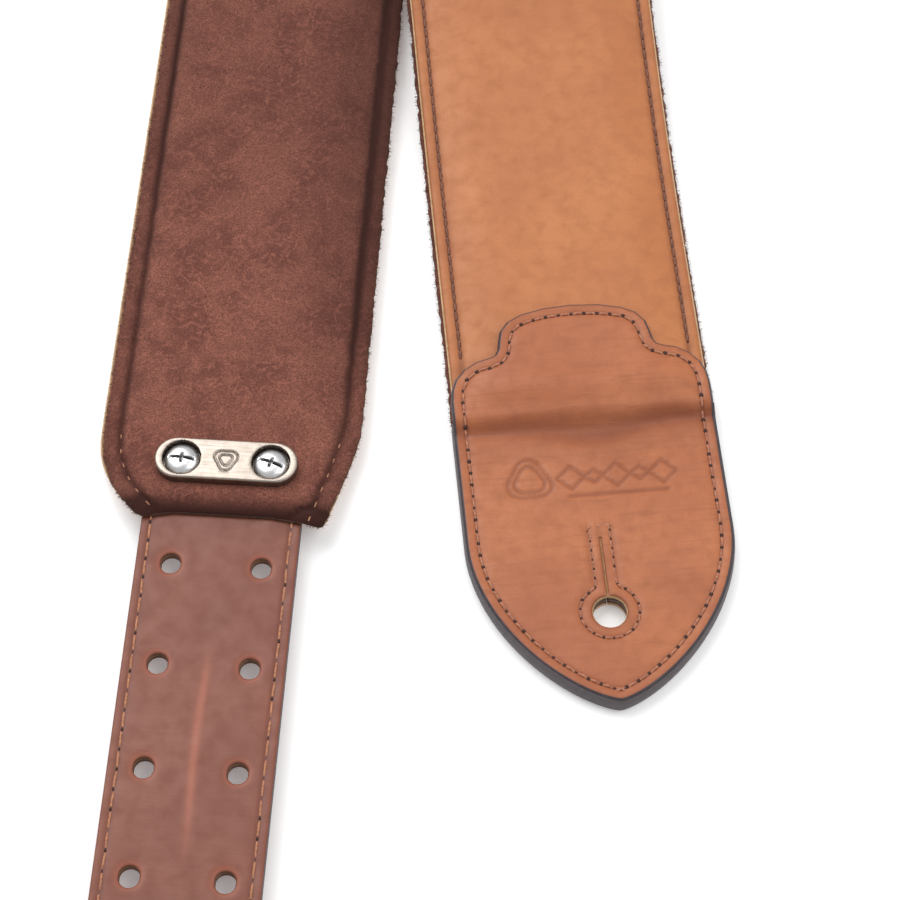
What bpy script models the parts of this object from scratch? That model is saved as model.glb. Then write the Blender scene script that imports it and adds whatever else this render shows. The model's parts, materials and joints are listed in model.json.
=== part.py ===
"""Padded leather guitar strap, folded in half with its two ends side by side on a table.

The left leg lies suede side up and holds the adjusting tail under a screwed plate.
The right leg lies leather side up and ends in the stitched tab with the button hole.
Every layer is drawn flat as (across, along, height) and then laid on the folded route:
across is +X, along runs from the pocket mouth to the tab's tip, height grows to the leather side.
"""

import math

import bmesh
import bpy
from mathutils import Matrix, Vector

MM = 0.001
GAP = 0.3 * MM
SLIDE_GAP = 0.4 * MM

# Body layers
LEATHER_WIDTH = 64 * MM
LEATHER = 1.8 * MM
SUEDE_OVERHANG = 0.75 * MM
SUEDE = 1.2 * MM
EDGE_BAND = 4.5 * MM
BODY_FOAM = 3.4 * MM
POCKET_FOAM = 1.2 * MM
SEAM_INSET = 3.0 * MM
THREAD = 0.8 * MM

# Route of the folded strap
LEG_ANGLE = math.radians(4.53)
LOOP_PAST_POCKET = 26.3 * MM
LOOP_RADIUS = 30 * MM
LANDING_RADIUS = 300 * MM
LANDING_BEFORE_CROSSING = 84.5 * MM
TIP_PAST_MOUTH = 49.6 * MM
LEGS_APART = 26.2 * MM
LOOP_STEP = 7.5 * MM
LEG_STEP = 36 * MM

# Adjusting tail
TAIL_WIDTH = 39 * MM
TAIL_PLY = 1.6 * MM
TAIL_PAST_INNER_HOLES = 15.8 * MM
TAIL_PAST_OUTER_HOLES = 20.6 * MM
TAIL_END = 52 * MM
TAIL_BEND_GAP = 1.6 * MM
TAIL_TIP_LENGTH = 20 * MM
HOLE_PITCH = 26.8 * MM
HOLE_SPACING = 22 * MM
HOLE_DIAMETER = 5.0 * MM
HOLE_STRETCH = 0.5 * MM
HOLES_EACH_WAY = 6
TAIL_CLEARANCE = 0.5 * MM

# Pocket mouth
MOUTH_LIP = 3.8 * MM
MOUTH_TAPER = 26 * MM

# Adjuster hardware
SCREW_FROM_MOUTH = 13.4 * MM
PLATE_PAST_SCREW = 6.6 * MM
PLATE_WIDTH = 11.2 * MM
PLATE_THICKNESS = 3.0 * MM
WELL_FLOOR = 0.8 * MM
WELL_RIM = 0.9 * MM
HEAD_HEIGHT = 1.5 * MM
SHANK_DIAMETER = 2.6 * MM
BOSS_WALL = 0.6 * MM
NUT_PLATE = 1.0 * MM
SHANK_PAST_NUT = 0.2 * MM

# End tab, measured from its tip towards the body
TAB_OVERHANG = 0.6 * MM
TAB_FACING = 2.0 * MM
TAB_CORE = 1.2 * MM
TAB_BACKING = 1.7 * MM
TAB_LENGTH = 110 * MM
OGIVE_LENGTH = 44 * MM
OGIVE_POWER = 0.8
CREASE = 74 * MM
CREASE_GAP = 1.8 * MM
STIFF_END = 66 * MM
SUEDE_END = 79 * MM
LEATHER_END = 80 * MM
FOAM_END = 82 * MM
FULL_HEIGHT_AT = 88 * MM
BUTTON_HOLE_AT = 23.6 * MM
BUTTON_HOLE = 8.6 * MM
SLIT_LENGTH = 16 * MM
SLIT_WIDTH = 0.6 * MM
TAB_SEAM_INSET = 2.8 * MM
KEYHOLE_SEAM_GAP = 2.9 * MM
KEYHOLE_SEAM_WIDTH = 5 * MM
CROWN_STEP = 4 * MM

SUEDE_WIDTH = LEATHER_WIDTH + 2 * SUEDE_OVERHANG
TAB_WIDTH = LEATHER_WIDTH + 2 * TAB_OVERHANG
MOUTH_WIDTH = TAIL_WIDTH + 2 * MOUTH_LIP
PLATE_LENGTH = HOLE_SPACING + 2 * PLATE_PAST_SCREW
TAIL_THICKNESS = 2 * TAIL_PLY + GAP
POCKET_HALF = (LEATHER + GAP + POCKET_FOAM + 2 * SLIDE_GAP + TAIL_THICKNESS + SUEDE) / 2
BODY_HALF = (LEATHER + BODY_FOAM + SUEDE) / 2 + GAP
EDGE_TOP = LEATHER + GAP / 2
EDGE_BOTTOM = -SUEDE - GAP / 2
FLAT_HALF = TAIL_WIDTH / 2 + TAIL_CLEARANCE
SLOPE_END = LEATHER_WIDTH / 2 - EDGE_BAND
FOAM_HALF = SLOPE_END - 2 * MM
TAIL_TOP = -POCKET_HALF + SUEDE + SLIDE_GAP

HOLE_RUN = HOLES_EACH_WAY * HOLE_PITCH
TAIL_INSIDE = SCREW_FROM_MOUTH + HOLE_RUN + TAIL_PAST_INNER_HOLES
TAIL_HINGE = SCREW_FROM_MOUTH - HOLE_RUN - TAIL_PAST_OUTER_HOLES
TAIL_OUTSIDE = TAIL_END - TAIL_HINGE
TAIL_DROOP = math.atan((POCKET_HALF - TAIL_TOP - TAIL_THICKNESS) / TAIL_END)
POCKET_END = TAIL_INSIDE + HOLE_RUN + 6 * MM
FOAM_STEP = 4 * MM

# The legs cross where their edges meet; the upper leg has left the table before that
LEG_RUN = POCKET_END * math.cos(LEG_ANGLE) + LOOP_PAST_POCKET
LANDING_AT = LEGS_APART / (2 * math.tan(LEG_ANGLE)) - LANDING_BEFORE_CROSSING
TIP_ASIDE = LEGS_APART + SUEDE_WIDTH / math.cos(LEG_ANGLE) + TIP_PAST_MOUTH * math.tan(LEG_ANGLE)

# Side view: the upper leg is the straight line that touches the loop and the landing arc
AHEAD = LEG_RUN - LANDING_AT
ABOVE = LANDING_RADIUS + BODY_HALF - LOOP_RADIUS - POCKET_HALF
APART = math.hypot(AHEAD, ABOVE)
LEAN = math.asin((LOOP_RADIUS + LANDING_RADIUS) / APART) - math.atan2(ABOVE, AHEAD)
LOOP_LENGTH = LOOP_RADIUS * (math.pi + LEAN)
SLOPE_RUN = math.sqrt(APART ** 2 - (LOOP_RADIUS + LANDING_RADIUS) ** 2)
PROFILE = (
    (LEG_RUN, 0),
    (LOOP_LENGTH, 1 / LOOP_RADIUS),
    (SLOPE_RUN, 0),
    (LANDING_RADIUS * LEAN, -1 / LANDING_RADIUS),
    (LANDING_AT + TIP_PAST_MOUTH, 0),
)
ROUTE_RUN = sum(length for length, bend in PROFILE)
TIP = ROUTE_RUN / math.cos(LEG_ANGLE)
DRIFT = TIP_ASIDE - ROUTE_RUN * math.tan(LEG_ANGLE)
DRIFT_START = LEG_RUN - 20 * MM
DRIFT_END = LEG_RUN + LOOP_LENGTH + SLOPE_RUN

parts = None


def clear_scene():
    """Removes whatever the scene holds and makes the strap's collection."""
    global parts
    for thing in list(bpy.data.objects):
        bpy.data.objects.remove(thing)
    parts = bpy.data.collections.new("guitar_strap")
    bpy.context.scene.collection.children.link(parts)


def finish_of(name, color, roughness, metallic=0.0):
    """A plain material for one kind of surface."""
    material = bpy.data.materials.new(name)
    material.use_nodes = True
    shader = material.node_tree.nodes["Principled BSDF"]
    shader.inputs["Base Color"].default_value = (*color, 1)
    shader.inputs["Roughness"].default_value = roughness
    shader.inputs["Metallic"].default_value = metallic
    return material


def ease(t):
    """Smooth step from 0 to 1."""
    t = min(max(t, 0), 1)
    return t * t * (3 - 2 * t)


def between(value, start, end):
    """Share of the way from start to end, kept between 0 and 1."""
    return min(max((value - start) / (end - start), 0), 1)


# ---------------------------------------------------------------- route


def profile(run):
    """Middle of the strap seen from its side: (y, z, heading) after that length."""
    y, z, heading = 0.0, POCKET_HALF, 0.0
    for length, bend in PROFILE:
        step = min(run, length)
        turned = heading + step * bend
        if bend:
            y += (math.sin(turned) - math.sin(heading)) / bend
            z += (math.cos(heading) - math.cos(turned)) / bend
        else:
            y += step * math.cos(heading)
            z += step * math.sin(heading)
        heading = turned
        run -= step
        if run <= 0:
            break
    return y, z, heading


def on_route(across, along, height):
    """Place in the world of a point of the strap drawn flat."""
    run = along * math.cos(LEG_ANGLE)
    share = between(run, DRIFT_START, DRIFT_END)
    aside = run * math.tan(LEG_ANGLE) + DRIFT * ease(share)
    slant = math.tan(LEG_ANGLE) + DRIFT * 6 * share * (1 - share) / (DRIFT_END - DRIFT_START)
    stretch = math.hypot(1, slant)
    y, z, heading = profile(run - across * slant / stretch)
    x = aside + across / stretch
    return Vector((x, y + height * math.sin(heading), z - height * math.cos(heading)))


def stations(start, end):
    """Lengths along the strap where it may bend, the same for every layer."""
    loop_start = LEG_RUN - 10 * MM
    loop_end = LEG_RUN + LOOP_LENGTH + 10 * MM
    landing_start = DRIFT_END - LEG_STEP / 2
    half_dropped = (FULL_HEIGHT_AT + FOAM_END) / 2
    marks = [POCKET_END, POCKET_END + FOAM_STEP]
    marks += [TIP - FULL_HEIGHT_AT, TIP - half_dropped, TIP - FOAM_END]
    run = LEG_STEP
    while run < ROUTE_RUN:
        marks.append(run / math.cos(LEG_ANGLE))
        if run + LEG_STEP <= loop_start or run >= loop_end:
            landing = landing_start < run < DRIFT_END + LANDING_RADIUS * LEAN
            run += LEG_STEP / 2 if landing else LEG_STEP
        else:
            run += LOOP_STEP
    return sorted(mark for mark in marks if start < mark < end)


# ---------------------------------------------------------------- section of the body


def half_height(along):
    """Half the padded thickness: fuller over the pocket than on the plain leg."""
    share = ease(between(along, POCKET_END, POCKET_END + 160 * MM))
    return POCKET_HALF + (BODY_HALF - POCKET_HALF) * share


def swell(across):
    """1 over the padding, falling to 0 at the flat edge band."""
    return 1 - between(abs(across), FLAT_HALF, SLOPE_END)


def leather_top(across, along):
    full = half_height(along)
    share = between(TIP - along, LEATHER_END, FULL_HEIGHT_AT)
    full = EDGE_TOP + (full - EDGE_TOP) * share
    return EDGE_TOP + (full - EDGE_TOP) * swell(across)


def leather_bottom(across, along):
    return leather_top(across, along) - LEATHER


def suede_bottom(across, along):
    return EDGE_BOTTOM + (-half_height(along) - EDGE_BOTTOM) * swell(across)


def suede_top(across, along):
    return suede_bottom(across, along) + SUEDE


def foam_top(across, along):
    return leather_bottom(across, along) - GAP


def foam_bottom(across, along):
    """The foam is thin over the pocket and full past its end."""
    full = suede_top(across, along) + GAP
    thin = foam_top(0, along) - POCKET_FOAM
    thin = full + (thin - full) * swell(across)
    return thin + (full - thin) * between(along, POCKET_END, POCKET_END + FOAM_STEP)


# ---------------------------------------------------------------- flat drawing and laying


def circle(center_across, center_along, radius, sides=14, stretch=0.0):
    """A closed ring of points, drawn out lengthwise by the stretch."""
    ring = []
    for i in range(sides):
        angle = 2 * math.pi * (i + 0.5) / sides
        pull = math.copysign(stretch / 2, math.sin(angle))
        across = center_across + radius * math.cos(angle)
        ring.append((across, center_along + radius * math.sin(angle) + pull))
    return ring


def keyhole(center_along, diameter, slit_end, sides=18):
    """The button hole and its slit, as one closed outline."""
    radius = diameter / 2
    half = SLIT_WIDTH / 2
    way = math.copysign(1, slit_end - center_along)
    open_angle = math.asin(half / radius)
    ring = []
    for i in range(sides + 1):
        angle = open_angle + (2 * math.pi - 2 * open_angle) * i / sides
        across = radius * math.sin(angle)
        ring.append((across, center_along + way * radius * math.cos(angle)))
    ring.append((-half, slit_end))
    ring.append((half, slit_end))
    return ring


def flat_sheet(name, outline, holes=(), thickness=LEATHER):
    """A flat piece cut to an outline, with its holes, as a mesh between 0 and its thickness."""
    curve = bpy.data.curves.new(name, "CURVE")
    curve.dimensions = "2D"
    curve.fill_mode = "BOTH"
    curve.extrude = thickness / 2
    for loop in [outline, *holes]:
        spline = curve.splines.new("POLY")
        spline.points.add(len(loop) - 1)
        for point, (across, along) in zip(spline.points, loop):
            point.co = (across, along, 0, 1)
        spline.use_cyclic_u = True
    return meshed(name, curve)


def meshed(name, curve):
    """Turns a curve into one closed mesh."""
    drawing = bpy.data.objects.new(name + "_line", curve)
    parts.objects.link(drawing)
    bpy.context.view_layer.update()
    evaluated = drawing.evaluated_get(bpy.context.evaluated_depsgraph_get())
    mesh = bpy.data.meshes.new_from_object(evaluated)
    bpy.data.objects.remove(drawing)
    mesh.name = name
    bm = bmesh.new()
    bm.from_mesh(mesh)
    bmesh.ops.remove_doubles(bm, verts=bm.verts, dist=1e-6)
    bm.to_mesh(mesh)
    bm.free()
    return mesh


def lay(name, mesh, material, top, bottom, along_lines=(), across_lines=()):
    """Cuts a flat mesh where it bends, gives it its height and lays it on the route."""
    bm = bmesh.new()
    bm.from_mesh(mesh)
    cuts = [(Vector((0, value, 0)), Vector((0, 1, 0))) for value in along_lines]
    cuts += [(Vector((value, 0, 0)), Vector((1, 0, 0))) for value in across_lines]
    for point, normal in cuts:
        everything = bm.verts[:] + bm.edges[:] + bm.faces[:]
        bmesh.ops.bisect_plane(bm, geom=everything, dist=1e-7, plane_co=point, plane_no=normal)
    for vert in bm.verts:
        across, along, level = vert.co
        height = top(across, along) if level > 0 else bottom(across, along)
        vert.co = on_route(across, along, height)
    bmesh.ops.triangulate(bm, faces=bm.faces[:])
    bmesh.ops.reverse_faces(bm, faces=bm.faces[:])
    bm.to_mesh(mesh)
    bm.free()
    return add_piece(name, mesh, material)


def add_piece(name, mesh, material):
    mesh.materials.clear()
    mesh.materials.append(material)
    piece = bpy.data.objects.new(name, mesh)
    parts.objects.link(piece)
    return piece


def strip(half_width, start, end):
    """A plain rectangle, across and along."""
    return [(half_width, start), (half_width, end), (-half_width, end), (-half_width, start)]


def mouth_outline(half_width, end):
    """The body's outline: soft tapered corners at the pocket mouth, square at the tab."""
    half_mouth = MOUTH_WIDTH / 2
    corner = []
    steps = 6
    for i in range(steps + 1):
        angle = math.pi / 2 * i / steps
        across = half_mouth + (half_width - half_mouth) * math.sin(angle)
        corner.append((across, MOUTH_TAPER * (1 - math.cos(angle))))
    side = corner + [(half_width, end)]
    return side + [(-across, along) for across, along in reversed(side)]


def thread(name, route, material):
    """A sewing thread along points given as (across, along, height)."""
    curve = bpy.data.curves.new(name, "CURVE")
    curve.dimensions = "3D"
    curve.bevel_depth = THREAD / 2
    curve.bevel_resolution = 1
    curve.use_fill_caps = True
    spline = curve.splines.new("POLY")
    spline.points.add(len(route) - 1)
    for point, place in zip(spline.points, route):
        point.co = (*on_route(*place), 1)
    return add_piece(name, meshed(name, curve), material)


# ---------------------------------------------------------------- body of the strap


def make_body(materials):
    section = (-SLOPE_END, -FLAT_HALF, FLAT_HALF, SLOPE_END)
    leather_end = TIP - LEATHER_END
    flat = flat_sheet("front_leather", mouth_outline(LEATHER_WIDTH / 2, leather_end))
    lines = stations(0, leather_end)
    lay("front_leather", flat, materials["leather"], leather_top, leather_bottom, lines, section)

    suede_end = TIP - SUEDE_END
    holes = []
    for side in (-1, 1):
        holes.append(circle(side * HOLE_SPACING / 2, SCREW_FROM_MOUTH, HOLE_DIAMETER / 2))
    outline = mouth_outline(SUEDE_WIDTH / 2, suede_end)
    flat = flat_sheet("backing_suede", outline, holes, SUEDE)
    lines = stations(0, suede_end)
    lay("backing_suede", flat, materials["suede"], suede_top, suede_bottom, lines, section)

    foam_end = TIP - FOAM_END
    foam_start = SCREW_FROM_MOUTH + PLATE_WIDTH / 2 + 3 * MM
    flat = flat_sheet("padding", strip(FOAM_HALF, foam_start, foam_end))
    lines = stations(foam_start, foam_end)
    lay("padding", flat, materials["foam"], foam_top, foam_bottom, lines, (-FLAT_HALF, FLAT_HALF))


def make_body_seams(materials):
    """The seam thread lies on the leather's edge band, left and right."""
    seam_across = LEATHER_WIDTH / 2 - SEAM_INSET
    height = EDGE_TOP + GAP + THREAD / 2
    start = MOUTH_TAPER
    end = TIP - TAB_LENGTH + 12 * MM
    marks = [start] + stations(start, end) + [end]
    for name, side in (("seam_thread_left", -1), ("seam_thread_right", 1)):
        thread(name, [(side * seam_across, mark, height) for mark in marks], materials["thread"])


# ---------------------------------------------------------------- adjusting tail


def tail_level(level):
    """Height of a tail surface, which droops past the bend near the tail's tip."""

    def height(across, along):
        return level + max(TAIL_HINGE - along, 0) * math.tan(TAIL_DROOP)

    return height


def tail_tip_outline():
    """The tail's outer end, rounded like the front of a tongue."""
    half = TAIL_WIDTH / 2
    start = TAIL_HINGE - TAIL_BEND_GAP / 2
    side = [(half, start)]
    steps = 8
    for i in range(steps + 1):
        angle = math.pi / 2 * i / steps
        along = -TAIL_OUTSIDE + TAIL_TIP_LENGTH * (1 - math.sin(angle))
        side.append((half * math.cos(angle), along))
    return side[:-1] + [(0, -TAIL_OUTSIDE)] + [(-a, b) for a, b in reversed(side[:-1])]


def make_tail(materials):
    holes = []
    for i in range(-HOLES_EACH_WAY, HOLES_EACH_WAY + 1):
        for side in (-1, 1):
            along = SCREW_FROM_MOUTH + i * HOLE_PITCH
            across = side * HOLE_SPACING / 2
            holes.append(circle(across, along, HOLE_DIAMETER / 2, 12, HOLE_STRETCH))
    start = TAIL_HINGE + TAIL_BEND_GAP / 2
    main = strip(TAIL_WIDTH / 2, start, TAIL_INSIDE)
    end_hole = -TAIL_OUTSIDE + BUTTON_HOLE_AT
    slit_end = end_hole + BUTTON_HOLE / 2 + SLIT_LENGTH
    end_holes = [keyhole(end_hole, BUTTON_HOLE, slit_end)]
    plies = (("face", "tail_leather", TAIL_TOP), ("backing", "lining", TAIL_TOP + TAIL_PLY + GAP))
    for ply, finish, level in plies:
        outer = tail_level(level)
        inner = tail_level(level + TAIL_PLY)
        flat = flat_sheet("tail_" + ply, main, holes, TAIL_PLY)
        lay("tail_" + ply, flat, materials[finish], inner, outer)
        flat = flat_sheet("tail_end_" + ply, tail_tip_outline(), end_holes, TAIL_PLY)
        lay("tail_end_" + ply, flat, materials[finish], inner, outer)


# ---------------------------------------------------------------- adjuster hardware


def stadium(length, width, steps=8):
    """A bar outline with round ends, along X, about its own middle."""
    radius = width / 2
    ring = []
    for side in (1, -1):
        for i in range(steps + 1):
            angle = math.pi * i / steps - math.pi / 2
            x = side * (length / 2 - radius + radius * math.cos(angle))
            ring.append((x, side * radius * math.sin(angle)))
    return ring


def hardware_frame(across, height):
    """Turns a piece drawn about its own middle, +Z up, to stand on the left leg."""
    place = on_route(across, SCREW_FROM_MOUTH, height)
    return Matrix.Translation(place) @ Matrix.Rotation(-LEG_ANGLE, 4, "Z")


def cylinder_cutter(name, x, radius, low, high, sides=20):
    bm = bmesh.new()
    middle = Matrix.Translation((x, 0, (low + high) / 2))
    bmesh.ops.create_cone(
        bm, cap_ends=True, segments=sides, radius1=radius, radius2=radius,
        depth=high - low, matrix=middle,
    )
    mesh = bpy.data.meshes.new(name)
    bm.to_mesh(mesh)
    bm.free()
    cutter = bpy.data.objects.new(name, mesh)
    parts.objects.link(cutter)
    return cutter


def combined(mesh, tools, operation):
    """The mesh after exact Booleans with each tool, which is then removed."""
    base = bpy.data.objects.new("work", mesh)
    parts.objects.link(base)
    for tool in tools:
        change = base.modifiers.new("cut", "BOOLEAN")
        change.operation = operation
        change.object = tool
    bpy.context.view_layer.update()
    evaluated = base.evaluated_get(bpy.context.evaluated_depsgraph_get())
    result = bpy.data.meshes.new_from_object(evaluated)
    for thing in [base, *tools]:
        bpy.data.objects.remove(thing)
    return result


def bevelled(mesh, width):
    """Rounds a mesh's sharp upper and lower edges."""
    bm = bmesh.new()
    bm.from_mesh(mesh)
    bmesh.ops.dissolve_limit(bm, angle_limit=0.01, verts=bm.verts, edges=bm.edges)
    rim = [e for e in bm.edges if abs(e.verts[0].co.z - e.verts[1].co.z) < 1e-6]
    rim = [e for e in rim if e.is_manifold and e.calc_face_angle() > 1]
    rim = [e for e in rim if e.verts[0].co.z > 0]
    bmesh.ops.bevel(bm, geom=rim, offset=width, segments=2, affect="EDGES", profile=0.5)
    bm.to_mesh(mesh)
    bm.free()
    return mesh


def make_plate(materials):
    """Cast plate with a sunk well for each screw head."""
    flat = flat_sheet("adjuster_plate", stadium(PLATE_LENGTH, PLATE_WIDTH), (), PLATE_THICKNESS)
    flat = bevelled(flat, 0.6 * MM)
    well = PLATE_WIDTH / 2 - WELL_RIM
    bore = SHANK_DIAMETER / 2 + GAP
    floor = -PLATE_THICKNESS / 2 + WELL_FLOOR
    cutters = []
    for side in (-1, 1):
        x = side * HOLE_SPACING / 2
        cutters.append(cylinder_cutter("well", x, well, floor, PLATE_THICKNESS))
        cutters.append(cylinder_cutter("bore", x, bore, -PLATE_THICKNESS, PLATE_THICKNESS, 12))
    mesh = combined(flat, cutters, "DIFFERENCE")
    height = -POCKET_HALF - GAP - PLATE_THICKNESS / 2
    mesh.transform(hardware_frame(0, height))
    add_piece("adjuster_plate", mesh, materials["nickel"])


def make_nut_plate(materials):
    """Hidden bar with two threaded bosses that stand up through a pair of tail holes."""
    mesh = flat_sheet("nut_plate", stadium(PLATE_LENGTH - 2 * MM, PLATE_WIDTH - 2 * MM), (), NUT_PLATE)
    bore = SHANK_DIAMETER / 2 + GAP
    boss_height = TAIL_THICKNESS + SLIDE_GAP
    bosses = []
    bores = []
    for side in (-1, 1):
        x = side * HOLE_SPACING / 2
        bosses.append(cylinder_cutter("boss", x, bore + BOSS_WALL, 0, boss_height, 14))
        bores.append(cylinder_cutter("bore", x, bore, -2 * NUT_PLATE, 2 * boss_height, 12))
    mesh = combined(mesh, bosses, "UNION")
    mesh = combined(mesh, bores, "DIFFERENCE")
    height = TAIL_TOP + TAIL_THICKNESS + GAP + NUT_PLATE / 2
    mesh.transform(hardware_frame(0, height))
    add_piece("nut_plate", mesh, materials["steel"])


def turned(name, outline, sides):
    """A solid turned about +Z from a profile of (radius, height), top to bottom."""
    mesh = bpy.data.meshes.new(name)
    points = [(radius, 0, height) for radius, height in outline]
    mesh.from_pydata(points, [(i, i + 1) for i in range(len(points) - 1)], [])
    drawing = bpy.data.objects.new(name + "_profile", mesh)
    parts.objects.link(drawing)
    turn = drawing.modifiers.new("turn", "SCREW")
    turn.steps = sides
    turn.render_steps = sides
    turn.use_merge_vertices = True
    turn.merge_threshold = 1e-6
    bpy.context.view_layer.update()
    evaluated = drawing.evaluated_get(bpy.context.evaluated_depsgraph_get())
    result = bpy.data.meshes.new_from_object(evaluated)
    bpy.data.objects.remove(drawing)
    return result


def make_screw(name, side, materials):
    """Domed cross-head screw: its head sits in the plate's well."""
    head = PLATE_WIDTH / 2 - WELL_RIM - GAP
    seat = -POCKET_HALF - GAP - WELL_FLOOR - GAP
    tip = TAIL_TOP + TAIL_THICKNESS + GAP + NUT_PLATE + SHANK_PAST_NUT
    shank = SHANK_DIAMETER / 2
    outline = [(0, HEAD_HEIGHT)]
    steps = 4
    for i in range(1, steps + 1):
        angle = math.pi / 2 * i / steps
        outline.append((head * math.sin(angle), 0.4 * MM + (HEAD_HEIGHT - 0.4 * MM) * math.cos(angle)))
    outline += [(head, 0), (shank, 0), (shank, seat - tip), (0, seat - tip)]
    mesh = turned(name, outline, 20)
    bm = bmesh.new()
    for turn in (0, math.pi / 2):
        size = Matrix.Diagonal((4.2 * MM, 1.0 * MM, 1.6 * MM, 1))
        lift = Matrix.Translation((0, 0, HEAD_HEIGHT + 0.1 * MM))
        bmesh.ops.create_cube(bm, size=1, matrix=Matrix.Rotation(turn, 4, "Z") @ lift @ size)
        cross_mesh = bpy.data.meshes.new("cross")
        bm.to_mesh(cross_mesh)
        bm.clear()
        cross = bpy.data.objects.new("cross", cross_mesh)
        parts.objects.link(cross)
        mesh = combined(mesh, [cross], "DIFFERENCE")
    bm.free()
    mesh.transform(hardware_frame(side * HOLE_SPACING / 2, seat))
    add_piece(name, mesh, materials["chrome"])


# ---------------------------------------------------------------- end tab


def tab_half_width(from_tip):
    """Half the tab's width: an ogive that opens to the full width."""
    share = min(from_tip / OGIVE_LENGTH, 1)
    return TAB_WIDTH / 2 * (1 - (1 - share) ** 2) ** OGIVE_POWER


def tab_side(inset=0.0):
    """One side of the tab's outline from the tip up, as (half width, from tip)."""
    marks = (0, 0.4, 1.5, 3.5, 7, 11, 16, 22, 29, 36, 44)
    side = []
    for mark in marks:
        from_tip = mark * OGIVE_LENGTH / marks[-1]
        side.append((tab_half_width(from_tip), from_tip))
    if not inset:
        return side
    inner = []
    for i in range(1, len(side)):
        (wide, low), (wider, high) = side[i - 1], side[min(i + 1, len(side) - 1)]
        run = math.hypot(wider - wide, high - low)
        across = side[i][0] - inset * (high - low) / run
        if across > 0:
            inner.append((across, side[i][1] + inset * (wider - wide) / run))
    return [(0, inset * 1.3)] + inner


def tab_outline(end):
    """The free tab, from its tip to a straight end."""
    side = [(across, TIP - from_tip) for across, from_tip in tab_side()[1:]]
    side.append((TAB_WIDTH / 2, TIP - end))
    return [(0, TIP)] + side + [(-across, along) for across, along in reversed(side)]


def crown_side(inset=0.0):
    """Half of the crown's stepped top, from the shoulder to the arch, as (across, from tip)."""
    half = TAB_WIDTH / 2
    step = TAB_LENGTH - 14.5 * MM
    arch = 18.8 * MM - inset
    points = [(half - inset, TAB_LENGTH - 26 * MM)]
    for degrees in (20, 45, 70):
        angle = math.radians(degrees)
        across = half - 7 * MM + (7 * MM - inset) * math.cos(angle)
        points.append((across, step - 9 * MM + (8.5 * MM - inset) * math.sin(angle)))
    points.append((20.6 * MM - inset / 2, step - inset))
    for degrees in (10, 35, 60, 90):
        angle = math.radians(degrees)
        across = arch * math.cos(angle)
        points.append((across, TAB_LENGTH - 11 * MM + (11 * MM - inset) * math.sin(angle)))
    return points


def crown_outline():
    """The sewn part of the facing, from the crease to its arched top."""
    near = CREASE + CREASE_GAP / 2
    side = [(TAB_WIDTH / 2, near)] + crown_side()
    points = side[:-1] + [(0, TAB_LENGTH)]
    points += [(-across, from_tip) for across, from_tip in reversed(side[:-1])]
    return [(across, TIP - from_tip) for across, from_tip in points]


def level(value):
    """A surface at one height."""

    def height(across, along):
        return value

    return height


def make_tab(materials):
    hole_at = TIP - BUTTON_HOLE_AT
    slit_end = hole_at - BUTTON_HOLE / 2 - SLIT_LENGTH
    holes = [keyhole(hole_at, BUTTON_HOLE, slit_end)]
    facing_low = -BODY_HALF + TAB_BACKING + TAB_CORE + 2 * GAP
    layers = (
        ("tab_facing", "tab_leather", facing_low, TAB_FACING, CREASE - CREASE_GAP / 2),
        ("tab_core", "core", facing_low - GAP - TAB_CORE, TAB_CORE, STIFF_END),
        ("tab_backing", "suede", -BODY_HALF, TAB_BACKING, STIFF_END),
    )
    for name, finish, low, thick, end in layers:
        flat = flat_sheet(name, tab_outline(end), holes, thick)
        lay(name, flat, materials[finish], level(low + thick), level(low))
    section = (-SLOPE_END, -FLAT_HALF, FLAT_HALF, SLOPE_END)
    lines = [TIP - FULL_HEIGHT_AT, TIP - LEATHER_END, TIP - CREASE - CREASE_GAP]
    lines += [TIP - LEATHER_END - CROWN_STEP * i for i in range(1, 8)]
    seam = TAB_WIDTH / 2 - TAB_SEAM_INSET
    section = (-seam, *section, seam)

    def low(across, along):
        """The facing lies on the padded body and comes down to the flat tab at the crease."""
        resting = leather_top(across, along) + GAP
        share = between(TIP - along, CREASE + CREASE_GAP, LEATHER_END)
        return facing_low + (resting - facing_low) * share

    def high(across, along):
        return low(across, along) + TAB_FACING

    flat = flat_sheet("crown_facing", crown_outline(), (), TAB_FACING)
    lay("crown_facing", flat, materials["tab_leather"], high, low, lines, section)
    make_tab_threads(materials, facing_low + TAB_FACING, high)


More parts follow.
